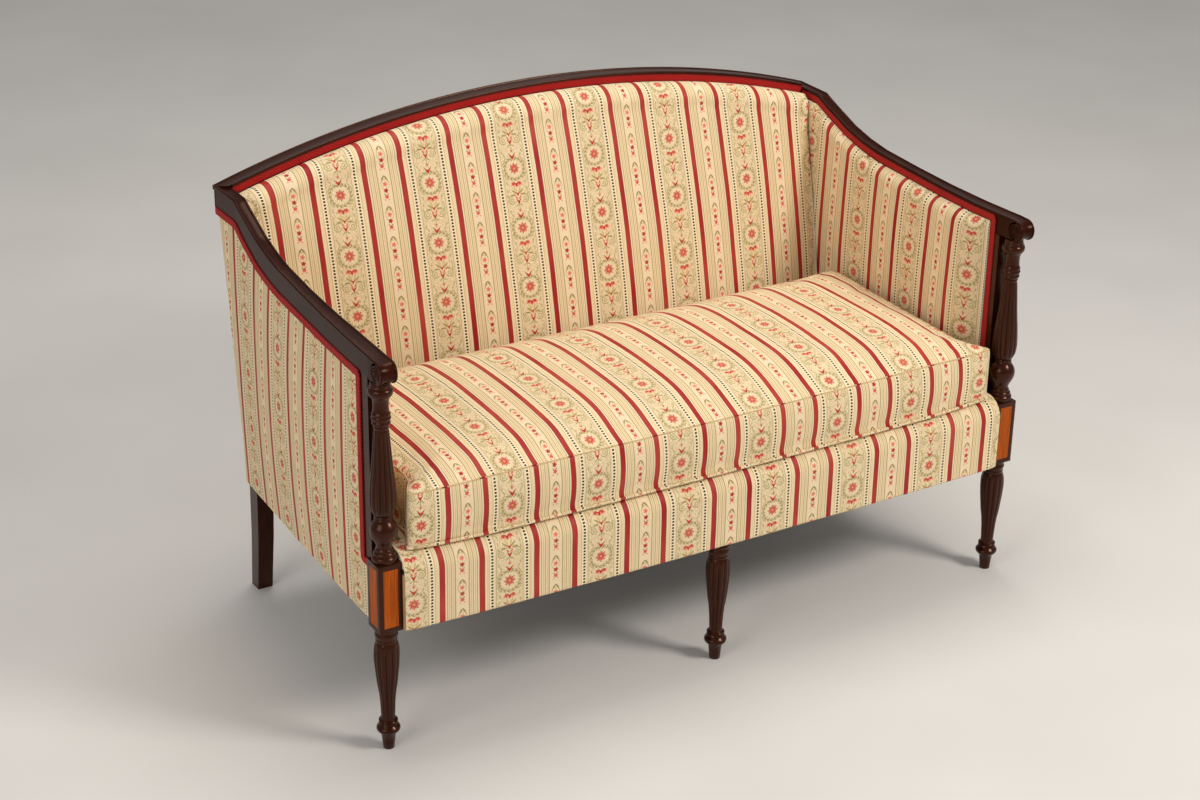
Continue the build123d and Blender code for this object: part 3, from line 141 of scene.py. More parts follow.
def arm_outer(y):
    forward = 1 - arm_share(y)
    return CORNER_X + 22.7 * (0.77 * forward + 0.23 * forward ** 2)


def arm_inner(y):
    return arm_outer(y) - 24.5 - 6.5 * straight_table(ARM_WIDTH, arm_share(y))


def rear_post_back(z):
    if z <= 330:
        return LEG_Y + 624 + 27 * (1 - z / 330) ** 2
    return LEG_Y + 624 + 49 * ((z - 330) / (POST_TOP - 330)) ** 1.1


def outside_back_y(z):
    if z > POST_TOP:
        share = (z - POST_TOP) / (CREST_HEIGHT - CREST_FACE - POST_TOP)
        return between(rear_post_back(POST_TOP), BACK_Y - 5.4, share)
    return rear_post_back(z)


def arc(start, middle, end, count):
    """Points along the circle through three points of a plane, or along the line if they are in one."""
    (ax, ay), (bx, by), (cx, cy) = start, middle, end
    d = 2 * (ax * (by - cy) + bx * (cy - ay) + cx * (ay - by))
    if abs(d) < 1e-6:
        return [(between(ax, cx, i / count), between(ay, cy, i / count)) for i in range(count + 1)]
    a2, b2, c2 = ax * ax + ay * ay, bx * bx + by * by, cx * cx + cy * cy
    ux = (a2 * (by - cy) + b2 * (cy - ay) + c2 * (ay - by)) / d
    uy = (a2 * (cx - bx) + b2 * (ax - cx) + c2 * (bx - ax)) / d
    radius = math.hypot(ax - ux, ay - uy)
    first = math.atan2(ay - uy, ax - ux)
    turn_mid = (math.atan2(by - uy, bx - ux) - first) % (2 * math.pi)
    turn_end = (math.atan2(cy - uy, cx - ux) - first) % (2 * math.pi)
    if turn_mid > turn_end:
        turn_end -= 2 * math.pi
    return [
        (ux + radius * math.cos(first + turn_end * i / count), uy + radius * math.sin(first + turn_end * i / count))
        for i in range(count + 1)
    ]


def evenly(points, count):
    """The same path as count + 1 points at even steps, each with its distance from the start."""
    lengths = [0.0]
    for p, q in zip(points, points[1:]):
        lengths.append(lengths[-1] + math.dist(p, q))
    result, index = [], 0
    for step in range(count + 1):
        want = lengths[-1] * step / count
        while index < len(points) - 2 and lengths[index + 1] < want:
            index += 1
        run = lengths[index + 1] - lengths[index] or 1.0
        share = clamped((want - lengths[index]) / run)
        result.append((tuple(between(a, b, share) for a, b in zip(points[index], points[index + 1])), want))
    return result


# Colours are written as they look, in steps of 255
def tint(red, green, blue):
    def linear(value):
        value /= 255
        return value / 12.92 if value <= 0.04045 else ((value + 0.055) / 1.055) ** 2.4
    return (linear(red), linear(green), linear(blue), 1.0)


class Wire:
    """A node's output that takes part in sums."""

    def __init__(self, finish, socket):
        self.finish = finish
        self.socket = socket

    def sum(self, operation, *others, clamp=False):
        return self.finish.add("ShaderNodeMath", {"operation": operation, "use_clamp": clamp}, [self, *others])

    def __add__(self, other):
        return self.sum("ADD", other)

    def __sub__(self, other):
        return self.sum("SUBTRACT", other)

    def __mul__(self, other):
        return self.sum("MULTIPLY", other)

    def __truediv__(self, other):
        return self.sum("DIVIDE", other)

    __radd__ = __add__

    def __rsub__(self, other):
        return self.finish.add("ShaderNodeMath", {"operation": "SUBTRACT"}, [other, self])

    def __abs__(self):
        return self.sum("ABSOLUTE")

    def within(self, limit, soft=0.7):
        """1 where the value is under the limit, 0 above it, with a soft edge."""
        return self.sum("MULTIPLY_ADD", -1 / soft, limit / soft + 0.5, clamp=True)

    def wrapped(self, period):
        """The value less its nearest multiple of the period."""
        return self - (self / period + 0.5).sum("FLOOR") * period


class Finish:
    """A material, built node by node."""

    def __init__(self, name):
        self.material = bpy.data.materials.new(name)
        self.material.use_nodes = True
        self.tree = self.material.node_tree
        self.tree.nodes.clear()
        self.shader = self.tree.nodes.new("ShaderNodeBsdfPrincipled")
        output = self.tree.nodes.new("ShaderNodeOutputMaterial")
        self.tree.links.new(self.shader.outputs[0], output.inputs[0])

    def add(self, kind, settings, values, output=0):
        node = self.tree.nodes.new(kind)
        for key, value in settings.items():
            if key == "stops":
                ramp = node.color_ramp
                while len(ramp.elements) < len(value):
                    ramp.elements.new(0.5)
                for element, (place, colour) in zip(ramp.elements, value):
                    element.position = place
                    element.color = colour
            else:
                setattr(node, key, value)
        pairs = values.items() if isinstance(values, dict) else enumerate(values)
        for key, value in pairs:
            self.set(node.inputs[key], value)
        return Wire(self, node.outputs[output])

    def set(self, socket, value):
        if isinstance(value, Wire):
            self.tree.links.new(value.socket, socket)
        else:
            socket.default_value = value

    def surface(self, **values):
        for key, value in values.items():
            self.set(self.shader.inputs[key.replace("_", " ")], value)
        return self.material

    def colour(self, base, over, mask):
        return self.add("ShaderNodeMix", {"data_type": "RGBA"}, {0: mask, 6: base, 7: over}, 2)

    def map_places(self):
        """The two directions of the piece's own cloth map, in millimetres."""
        flat = self.add("ShaderNodeUVMap", {"uv_map": "cloth"}, [])
        u = self.add("ShaderNodeSeparateXYZ", {}, [flat], 0)
        v = Wire(self, u.socket.node.outputs[1])
        return u * 1000.0, v * 1000.0

    def object_place(self, scale):
        place = self.add("ShaderNodeTexCoord", {}, {}, 3)
        return self.add("ShaderNodeMapping", {}, {"Vector": place, "Scale": scale})

    def noise(self, place, scale, detail=2.0, rough=0.5, distortion=0.0):
        return self.add(
            "ShaderNodeTexNoise", {},
            {"Vector": place, "Scale": scale, "Detail": detail, "Roughness": rough, "Distortion": distortion},
        )

    def ramp(self, value, *stops):
        return self.add("ShaderNodeValToRGB", {"stops": stops}, [value])

    def bump(self, height, strength, distance):
        return self.add("ShaderNodeBump", {}, {"Strength": strength, "Distance": distance, "Height": height})


# Wood, polished dark, with the grain along one direction
def polished_wood(name, grain, dark, light, roughness=0.15, gloss=0.34):
    wood = Finish(name)
    place = wood.object_place(grain)
    figure = wood.noise(place, 9.0, 6.0, 0.62, 0.6)
    pores = wood.noise(place, 55.0, 3.0, 0.7)
    cloud = wood.noise(wood.object_place((1, 1, 1)), 7.0, 2.0)
    colour = wood.ramp(figure, (0.30, dark), (0.72, light))
    colour = wood.colour(colour, dark, pores.sum("GREATER_THAN", 0.62) * 0.45)
    colour = wood.colour(colour, tint(104, 38, 20), cloud * 0.14)
    return wood.surface(
        Base_Color=colour,
        Roughness=roughness + cloud * 0.14,
        Normal=wood.bump(figure * 0.6 + pores * 0.4, 0.10, 0.0004),
        Specular_IOR_Level=gloss, Specular_Tint=(1.0, 0.6, 0.42, 1.0),
    )


mahogany_dark, mahogany_light = tint(20, 7, 3), tint(50, 19, 9)
upright_wood = polished_wood("polished_mahogany_upright", (14, 14, 1.6), mahogany_dark, mahogany_light)
crest_wood = polished_wood("polished_mahogany_crest", (1.6, 14, 14), mahogany_dark, mahogany_light)
rail_wood = polished_wood("polished_mahogany_rail", (14, 1.6, 14), mahogany_dark, mahogany_light, gloss=0.12)
satinwood = polished_wood("satinwood_inlay", (22, 22, 1.2), tint(142, 58, 10), tint(196, 98, 26), 0.3, gloss=0.12)


def sawn_wood():
    wood = Finish("sawn_frame_wood")
    place = wood.object_place((3, 3, 3))
    figure = wood.noise(place, 8.0, 5.0, 0.6, 1.2)
    return wood.surface(
        Base_Color=wood.ramp(figure, (0.3, tint(176, 140, 98)), (0.7, tint(206, 172, 126))),
        Roughness=0.62 + figure * 0.2, Normal=wood.bump(figure, 0.2, 0.0004),
    )


def spring_wire():
    steel = Finish("drawn_spring_wire")
    marks = steel.noise(steel.object_place((1, 1, 1)), 60.0, 3.0)
    return steel.surface(
        Base_Color=steel.ramp(marks, (0.3, tint(120, 120, 122)), (0.7, tint(160, 160, 162))),
        Metallic=1.0, Roughness=0.28 + marks * 0.2,
    )


def plain_weave(name, dark, light, pitch, rise):
    """Plain woven cloth on object coordinates, its threads pitch apart."""
    cloth = Finish(name)
    place = cloth.object_place((1 / pitch, 1 / pitch, 1 / pitch))
    x = cloth.add("ShaderNodeSeparateXYZ", {}, [place], 0)
    y, z = Wire(cloth, x.socket.node.outputs[1]), Wire(cloth, x.socket.node.outputs[2])
    threads = (x * math.pi).sum("SINE") * (y * math.pi).sum("SINE") + (z * math.pi).sum("SINE") * 0.5
    mottled = cloth.noise(place, 0.04, 3.0)
    return cloth.surface(
        Base_Color=cloth.ramp(threads * 0.16 + mottled, (0.25, dark), (0.75, light)),
        Roughness=0.85 + mottled * 0.1, Normal=cloth.bump(threads, 0.5, rise), Sheen_Weight=0.15,
    )


frame_wood = sawn_wood()
wire_finish = spring_wire()
jute = plain_weave("jute_weave", tint(122, 96, 60), tint(178, 148, 102), 0.0022, 0.0004)
wadding = plain_weave("stuffing_wadding", tint(214, 206, 180), tint(240, 234, 214), 0.004, 0.0004)
lining = plain_weave("black_lining", tint(26, 26, 27), tint(52, 51, 50), 0.0016, 0.0002)
decking = plain_weave("deck_cloth", tint(196, 174, 134), tint(226, 206, 166), 0.0015, 0.0002)
tape = plain_weave("zip_tape_weave", tint(176, 156, 118), tint(206, 188, 150), 0.0012, 0.0002)

# Striped cover cloth, drawn on each piece's cloth map in millimetres
REPEAT = 176.0  # from one wide stripe to the next
BAND = 36.6  # from the middle of the narrow stripe to the middle of a satin band
SATIN = 5.3  # half the width of a satin band
CHAIN = 113.4  # from one wreath to the next
DOT_LINE = 32.6  # from the middle of the wide stripe to its dotted lines
DOT_STEP = 6.1


def striped_cloth():
    """Woven stripes: red satin bands, a wide stripe with wreaths and a narrow one with sprigs."""
    cloth = Finish("striped_cover_cloth")
    plain = cloth.object_place((1, 1, 1))
    u, v = cloth.map_places()
    u = u + cloth.noise(plain, 16.0, 1.0) * 1.2
    narrow, wide = u.wrapped(REPEAT), (u + REPEAT / 2).wrapped(REPEAT)
    slim, side = abs(narrow), abs(wide)
    wreath, low, sprig = v.wrapped(CHAIN), (v + CHAIN / 2).wrapped(CHAIN), v.wrapped(CHAIN / 2)
    grain = cloth.noise(plain, 420.0, 2.0, 0.6)
    # noise for a random pale tone over the cloth, and for the painted sheen and shade of the satin bands
    mottle_and_painted_sheen = cloth.noise(plain, 9.0, 2.0)
    speckle = cloth.noise(plain, 620.0, 1.0)

    sage, olive, gold = tint(166, 154, 98), tint(138, 122, 66), tint(206, 176, 108)
    crimson, rose, blush = tint(186, 36, 36), tint(210, 84, 72), tint(232, 146, 122)
    field = cloth.colour(tint(230, 208, 168), tint(206, 182, 138), speckle.within(0.47, 0.06) * 0.75)
    field = cloth.colour(field, tint(246, 228, 192), (1 - speckle).within(0.44, 0.06) * 0.7)
    paint = cloth.colour(tint(240, 218, 182), tint(228, 204, 164), grain.within(0.46, 0.1) * 0.6)
    paint = cloth.colour(paint, field, side.within(24.5))

    def lay(mask, colour, strength=1.0):
        nonlocal paint
        paint = cloth.colour(paint, colour, mask * strength if strength != 1.0 else mask)

    def distance(x, y):
        return (x * x + y * y).sum("SQRT")

    def discs(across, along, *rows):
        for x, y, radius, colour, *strength in rows:
            lay(distance(across - x, along - y).within(radius), colour, *strength)

    def leaves(across, along, *rows):
        """Pointed leaves, each with its length turned by an angle from the x direction."""
        for x, y, angle, length, width, colour, *strength in rows:
            x, y, turn = across - x, along - y, math.radians(angle)
            p = x * math.cos(turn) + y * math.sin(turn)
            q = y * math.cos(turn) - x * math.sin(turn)
            lay((abs(q) + p * p * (width / length ** 2)).within(width), colour, *strength)

    def bud(along, height, spread, colour):
        """Bud that opens upward from its tip on the middle line, with a notched top."""
        body = (abs(wide) - along * spread).within(0.5)
        top = (along - abs(wide) * 0.8).within(height * 0.7)
        lay(body * top * (along * -1).within(0.3), colour)

    def flower(along, radius, colour, heart, heart_colour):
        """Five petals on the narrow stripe's middle line, round a heart."""
        angle = along.sum("ARCTAN2", narrow) * 2.5
        rim = distance(narrow, along) - abs(angle.sum("COSINE")) * (radius * 0.42)
        lay(rim.within(radius * 0.58), colour)
        if heart:
            discs(narrow, along, (0, 0, heart, heart_colour))

    # Pinstripes, and the dotted lines on their pale ground
    for across, lines in (
        (slim, (
            (12.8, 1.0, olive, 0.75), (16.6, 0.8, gold, 0.8), (20.2, 0.9, sage, 0.8), (24.0, 0.8, gold, 0.8),
            (27.8, 1.0, sage, 0.75), (31.0, 0.5, tint(252, 238, 208), 0.9),
        )),
        (side, (
            (38.6, 0.9, gold, 0.8), (42.0, 0.5, gold, 0.5), (28.2, 0.6, gold, 0.75), (25.2, 0.7, olive, 0.65),
            (35.6, 0.5, gold, 0.5), (DOT_LINE, 4.2, tint(250, 234, 198), 0.8),
        )),
    ):
        for place, width, colour, strength in lines:
            lay(abs(across - place).within(width), colour, strength)
    dots = abs(side - DOT_LINE).within(2.1, 0.4) * abs(v.wrapped(DOT_STEP)).within(1.85, 0.4)
    lay(dots, tint(16, 8, 3))

    # Wreath with its flower
    reach = distance(wide, wreath)
    turn = wreath.sum("ARCTAN2", wide)
    lay(reach.within(14.5, 5.0), tint(248, 232, 200), 0.2)
    for radius, width, twist, colour, strength in ((18.6, 1.7, 1.1, sage, 0.85), (21.6, 1.6, -1.1, olive, 0.75)):
        blades = (turn * 17.0 + reach * twist).sum("SINE").within(0.1, 0.6)
        lay(abs(reach - radius).within(width) * blades, colour, strength)
    lay(abs(reach - 20.0).within(0.55), olive, 0.7)
    for wave, length, colour in (("SINE", 10.8, crimson), ("COSINE", 9.0, rose)):
        spoke = reach * abs((turn * 4.0).sum(wave)) * 0.25
        lay(spoke.within(0.95) * reach.within(length), colour)
    lay(reach.within(2.0), gold)

    # Fine sprays beside the wreath and trailing curls between the wreaths
    for x, y, angle, length in (
        (21.5, 12.0, 120, 4.6), (17.5, 18.5, 140, 4.2), (21.5, -12.0, 60, 4.6), (17.0, -18.0, 40, 4.2),
        (18.5, -27.0, 75, 4.4), (20.5, -40.0, 100, 4.4), (16.5, 26.0, 60, 4.2), (20.0, 33.0, 100, 4.4),
    ):
        leaves(side, wreath, (x, y, angle, length, 1.15, sage, 0.75))
    trail = (wreath * 0.22).sum("SINE") * 3.2 + 19.5
    lay(abs(side - trail).within(0.45), sage, 0.6)

    # Bud above, cluster, fan of leaves, scrolls and small buds below
    bud(wreath - 17.5, 9.0, 0.62, crimson)
    leaves(side, wreath, (5.0, 17.5, 35, 5.0, 1.3, sage))
    discs(
        side, wreath,
        (6.8, -28.5, 3.5, rose), (4.2, -32.5, 2.2, blush), (10.6, -31.0, 1.8, blush), (6.8, -28.5, 1.2, crimson),
    )
    bud(wreath + 35.5, 10.0, 0.42, crimson)
    leaves(
        side, wreath,
        (7.5, -43.5, 38, 7.0, 1.7, sage), (4.5, -39.5, 60, 5.5, 1.3, gold),
        (10.5, -49.5, 5, 6.0, 1.5, olive, 0.9), (5.5, -47.0, 20, 5.0, 1.1, gold),
    )
    bud(wreath + 52.0, 7.0, 0.5, crimson)
    curl = distance(side - 14.0, low + 2.0)
    lay(abs(curl - 7.2).within(0.75) * (side - low * 0.5).sum("GREATER_THAN", 10.0), sage)
    lay(abs(curl - 3.0).within(0.7), sage, 0.9)
    leaves(side, low, (20.5, 6.0, 70, 4.0, 1.2, sage, 0.8))
    bud(low + 11.0, 9.0, 0.5, crimson)
    leaves(side, low, (3.6, 1.5, 55, 4.5, 1.2, rose), (4.0, -13.0, -35, 4.5, 1.1, sage))
    lay(side.within(0.5) * abs(low + 17.0).within(6.0), olive, 0.9)
    bud(low + 26.0, 5.0, 0.5, rose)

    # Sprigs of the narrow stripe, kept off the wide one
    keep = paint
    leaves(slim, sprig, (3.2, 21.0, -55, 6.2, 1.5, olive), (6.0, 15.5, -65, 5.0, 1.0, gold))
    lay(abs(distance(narrow / 8.0, (sprig - 9.0) / 9.5) - 1.0).within(0.07, 0.08), sage, 0.7)
    flower(sprig - 9.5, 5.2, blush, 1.6, rose)
    flower(sprig + 2.5, 4.6, crimson, 1.0, tint(60, 36, 26))
    discs(slim, sprig, (3.2, -9.5, 1.7, sage, 0.9))
    flower(sprig + 14.0, 4.2, rose, 0, None)
    discs(slim, sprig, (3.8, -19.5, 1.6, blush))
    paint = cloth.colour(paint, keep, side.within(REPEAT / 2 - BAND))

    # Red satin bands over everything, their red mottled lighter and darker as a painted sheen and painted shade
    band = abs(slim - BAND)
    satin = band.within(SATIN, 0.7)
    # painted sheen: the satin red goes from a lit red to a shaded red with the noise
    red = cloth.colour(tint(192, 14, 17), tint(134, 4, 9), mottle_and_painted_sheen)
    red = cloth.colour(red, tint(104, 3, 8), abs(band - SATIN + 0.3).within(0.5, 0.5) * 0.7)
    paint = cloth.colour(paint, red, satin)
    paint = cloth.colour(paint, tint(214, 186, 140), mottle_and_painted_sheen.within(0.5, 0.5) * 0.10)

    thread = math.pi / 0.55
    weave = (u * thread).sum("SINE") * (v * thread).sum("SINE")
    return cloth.surface(
        Base_Color=paint,
        Roughness=0.74 - satin * 0.30 + grain * 0.08,
        Normal=cloth.bump(weave * 0.25 + grain * 0.8 - satin * 0.6, 0.35, 0.0003),
        Sheen_Weight=0.04, Sheen_Roughness=0.5, Specular_IOR_Level=0.22,
    )


cover_cloth = striped_cloth()


def seam_thread():
    """Piped seam: tan cord that shows dark red where the satin bands run over it."""
    thread = Finish("seam_cord")
    u, v = thread.map_places()
    twist = ((u + v * 0.5) * (2 * math.pi / 2.4)).sum("SINE")
    cord = thread.ramp(twist * 0.5 + 0.5, (0.1, tint(170, 138, 90)), (0.9, tint(232, 206, 158)))
    satin = abs(abs(u.wrapped(REPEAT)) - BAND).within(SATIN + 0.1)
    return thread.surface(
        Base_Color=thread.colour(cord, tint(142, 8, 12), satin), Roughness=0.7 + twist * 0.05,
        Normal=thread.bump(twist, 0.5, 0.0004), Specular_IOR_Level=0.25,
    )


def woven_gimp():
    """Red braid: scroll-like zigzag ridges across a corded edge, with a painted highlight on the ridges and painted
    shade between them.
    """
    braid = Finish("red_gimp_braid")
    u, v = braid.map_places()
    zigzag = abs(v.wrapped(7.6))
    ridge = ((u + zigzag) * (2 * math.pi / 3.8)).sum("SINE")
    edge = abs(abs(u) - 6.4).within(0.9)
    fuzz = braid.noise(braid.object_place((1, 1, 1)), 500.0, 2.0)
    height = ridge * 0.5 + edge * 0.8 + fuzz * 0.5
    # painted highlight and shade: the red is lighter on the ridges and darker in the grooves between them
    colour = braid.ramp(ridge * 0.5 + 0.5, (0.15, tint(92, 2, 3)), (0.75, tint(208, 22, 14)))
    colour = braid.colour(colour, tint(120, 4, 8), edge * 0.6)
    return braid.surface(
        Base_Color=colour, Roughness=0.62 + fuzz * 0.15, Normal=braid.bump(height, 0.8, 0.0008),
        Sheen_Weight=0.05, Specular_IOR_Level=0.25,
    )


gimp_cloth = woven_gimp()


# Modelling helpers
def clear_selection():
    if bpy.context.object and bpy.context.object.mode != "OBJECT":
        bpy.ops.object.mode_set(mode="OBJECT")
    bpy.ops.object.select_all(action="DESELECT")


def alone(piece):
    clear_selection()
    piece.select_set(True)
    bpy.context.view_layer.objects.active = piece


def settle(piece, name):
    """Puts a finished piece's place into its mesh and names it."""
    alone(piece)
    bpy.ops.object.transform_apply(location=True, rotation=True, scale=True)
    piece.name = name
    piece.data.name = name
    return piece


def laid_out(name, columns, rows, place, cloth_place=None, outward=None):
    """A grid whose points are put by place(column share, row share), in millimetres."""
    clear_selection()
    bpy.ops.mesh.primitive_grid_add(x_subdivisions=columns, y_subdivisions=rows, size=2, calc_uvs=False)
    piece = bpy.context.object
    shares = [((v.co.x + 1) / 2, (v.co.y + 1) / 2) for v in piece.data.vertices]
    for vertex, (s, t) in zip(piece.data.vertices, shares):
        vertex.co = Vector(place(s, t)) * mm
    if cloth_place:
        layer = piece.data.uv_layers.new(name="cloth")
        flat = [cloth_place(s, t) for s, t in shares]
        for loop in piece.data.loops:
            layer.data[loop.index].uv = flat[loop.vertex_index]
    piece.data.update()
    if outward:
        towards = Vector(outward)
        total = sum((polygon.normal.dot(towards) * polygon.area for polygon in piece.data.polygons), 0.0)
        if total < 0:
            piece.data.flip_normals()
    return settle(piece, name)


def applied(piece, kind, **settings):
    """Gives a piece a modifier with these settings and applies it."""
    alone(piece)
    modifier = piece.modifiers.new(kind.lower(), kind)
    for key, value in settings.items():
        setattr(modifier, key, value)
    bpy.ops.object.modifier_apply(modifier=modifier.name)


def thicken(piece, thickness):
    """Gives a sheet its thickness, behind its face."""
    applied(piece, "SOLIDIFY", thickness=thickness * mm, offset=-1)


def smooth(piece, degrees=35):
    alone(piece)
    bpy.ops.object.shade_smooth_by_angle(angle=math.radians(degrees))


def weld(piece):
    alone(piece)
    bpy.ops.object.mode_set(mode="EDIT")
    bpy.ops.mesh.select_all(action="SELECT")
    bpy.ops.mesh.remove_doubles(threshold=0.02 * mm)
    bpy.ops.mesh.normals_make_consistent(inside=False)
    bpy.ops.object.mode_set(mode="OBJECT")


def paint_with(piece, material):
    piece.data.materials.clear()
    piece.data.materials.append(material)


def mirrored(piece, name):
    """A copy with its own mesh on the other side of the middle."""
    copy = piece.copy()
    copy.data = piece.data.copy()
    bpy.context.collection.objects.link(copy)
    copy.data.transform(Matrix.Scale(-1, 4, (1, 0, 0)))
    copy.data.flip_normals()
    copy.name = name
    copy.data.name = name
    return copy


def dress(piece, material, slot, body, *nodes):
    paint_with(piece, material)
    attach(piece, body)
    if nodes:
        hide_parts(*nodes)
    return piece


def dress_both(right, material, slot, node):
    """Dresses a right piece and its mirrored twin on the left; node is the right one's."""
    left = mirrored(right, right.name.replace("right", "left"))
    for piece, side in ((right, "right"), (left, "left")):
        dress(piece, material, slot, "frame", node.replace("right", side))
    return right, left


def skin(name, rings, cloth_rings=None, ends=True):
    """A closed skin through rings of points, each ring in the same order."""
    count, last = len(rings[0]), len(rings) - 1

    def place(s, t):
        return rings[round(t * last)][round(s * count) % count]

    def flat(s, t):
        return cloth_rings[round(t * last)][round(s * count)]

    piece = laid_out(name, count, last, place, flat if cloth_rings else None)
    weld(piece)
    if ends:
        alone(piece)
        bpy.ops.object.mode_set(mode="EDIT")
        bpy.ops.mesh.select_mode(type="EDGE")
        bpy.ops.mesh.select_all(action="DESELECT")
        bpy.ops.mesh.select_non_manifold(extend=False)
        bpy.ops.mesh.edge_face_add()
        bpy.ops.mesh.select_all(action="SELECT")
        bpy.ops.mesh.normals_make_consistent(inside=False)
        bpy.ops.object.mode_set(mode="OBJECT")
    return piece


# Turned work: rows of (height, diameter) or, where it is reeded, (height, diameter, reed depth), in millimetres
FOOT_ROWS = (
    (0, 19), (0.6, 20), (15, 22.6), (30, 25.5), (31, 27.5), (33, 33), (35.5, 38), (38, 41), (40.5, 42), (43, 41),
    (45, 38), (46.6, 33.5), (48, 31.5), (49, 33), (50.3, 34), (51.6, 33), (52.8, 31), (54, 30.5), (55.2, 32.5),
    (56.5, 33.6), (57.6, 32), (58.4, 28), (59.2, 25),
)
LEG_REED_ROWS = (
    (60, 24.2, 0.3), (62, 24.2, 1.0), (76, 25.4, 1.5), (93.5, 27.0, 1.8), (111.5, 30.2, 2.0), (129, 36.0, 2.3),
    (147, 39.8, 2.5), (165, 43.3, 2.6), (178, 45.2, 2.6), (188, 45.7, 2.6), (197, 45.0, 2.3), (203, 43.4, 1.8),
    (207, 41.6, 1.2), (210, 39.6, 0.6), (212, 37.6, 0.2),
)
LEG_NECK_ROWS = (
    (213.4, 36), (215, 35.6), (216.2, 37.4), (217.4, 38), (218.6, 37.2), (219.6, 35.8), (221.5, 36.6), (224, 39),
    (226, 40.3), (228, 40.8), (230, 40.2), (232, 38.6), (233.4, 37), (235.5, 38.2), (238, 40), (239.5, 40.4),
)
BULB_ROWS = (
    (369.1, 41), (370.6, 42.6), (372.8, 43.8), (375, 44), (377.2, 43.4), (379, 41.6), (380.3, 38.4), (381.4, 36.4),
    (382.8, 37.6), (384.4, 38), (386, 37), (387.4, 34.4), (388.8, 31.4), (390, 31.6), (391.2, 32), (392.4, 31),
    (393.4, 29), (395, 28), (397, 27.7), (400, 28.4), (404, 31.6), (409, 37.2), (414, 42.2), (419, 45.8), (424, 47.7),
    (428, 48), (432, 47.0), (436, 44.6), (440, 40.4), (443, 36.2), (445, 33), (446.2, 30.6), (447.2, 31.8),
    (448.4, 32.2), (449.6, 31.4), (450.8, 30.2), (452, 31.4), (453.2, 31.8), (454.4, 31), (455.4, 30),
)
VASE_ROWS = (
    (456.4, 31.4, 0.2), (458, 34.2, 0.6), (460.5, 37.6, 1.2), (464, 41.2, 1.8), (469, 44.2, 2.2), (476, 46.2, 2.4),
    (486, 47.2, 2.4), (498, 46.4, 2.4), (510, 44.6, 2.3), (522, 42.6, 2.2), (537, 39.2, 2.1), (552, 36.2, 1.9),
    (566, 33.9, 1.8), (580, 31.8, 1.7), (594, 29.5, 1.5), (604, 27.8, 1.3), (610, 26.6, 0.8), (612.5, 25.8, 0.3),
)
NECK_ROWS = (
    (613.6, 24.4), (615, 24.6), (616.4, 26.6), (617.8, 27.2), (619.2, 26.4), (620.4, 25.8), (622.4, 29),
    (624.4, 31.4), (626.2, 32), (628, 31.2), (629.6, 29.4), (631.4, 31.4), (633.4, 33.4), (635.2, 34), (637, 33),
    (638.6, 30.6), (640, 31.2), (641.6, 32.2), (643.2, 31.6), (644.6, 29.4), (648, 28), (653, 27.2), (659, 27.0),
    (664, 27.8), (668, 29.6), (671, 32.2), (673.4, 35.6), (675.6, 39.2), (678, 41.8), (681, 43.2), (684, 43.0),
    (686.6, 41.2), (688.4, 38.2), (689.4, 35.8), (690.6, 37), (692, 37), (693.2, 35), (694.2, 34.2), (695.6, 35.2),
    (697, 34.8), (698.2, 33.4), (700, 33.6),
)
REED_DIPS = (1.0, 0.30, 0.06, 0.0, 0.06, 0.30)


def turned(name, x, y, rows, reeds):
    """Turned piece from the lathe's rows: a ring is drawn up row by row, then the reeds are cut."""
    sides = reeds * len(REED_DIPS)
    clear_selection()
    bpy.ops.mesh.primitive_circle_add(
        vertices=sides, radius=rows[0][1] / 2 * mm, fill_type="NGON", location=(x * mm, y * mm, rows[0][0] * mm)
    )
    piece = bpy.context.object
    bpy.ops.object.mode_set(mode="EDIT")
    bpy.ops.mesh.select_all(action="SELECT")
    for (z0, d0, *_), (z1, d1, *_) in zip(rows, rows[1:]):
        bpy.ops.mesh.extrude_region_move(TRANSFORM_OT_translate={"value": (0, 0, (z1 - z0) * mm)})
        bpy.ops.transform.resize(value=(d1 / d0, d1 / d0, 1), center_override=(x * mm, y * mm, z1 * mm))
    bpy.ops.object.mode_set(mode="OBJECT")
    settle(piece, name)
    depths = {round(row[0] * 10): row[2] for row in rows if len(row) > 2}
    for vertex in piece.data.vertices:
        depth = depths.get(round(vertex.co.z / mm * 10), 0)
        if depth:
            dx, dy = vertex.co.x - x * mm, vertex.co.y - y * mm
            radius = math.hypot(dx, dy)
            turn = round((math.atan2(dy, dx) % (2 * math.pi)) / (2 * math.pi) * sides)
            shrink = 1 - depth * mm * REED_DIPS[turn % len(REED_DIPS)] / radius
            vertex.co.x, vertex.co.y = x * mm + dx * shrink, y * mm + dy * shrink
    weld(piece)
    smooth(piece, 50)
    return piece


def joined(name, *pieces):
    alone(pieces[0])
    for piece in pieces[1:]:
        piece.select_set(True)
    bpy.ops.object.join()
    return settle(bpy.context.object, name)


PANEL_WIDTH, PANEL_HEIGHT, PANEL_BED = 27, 110, 1.2


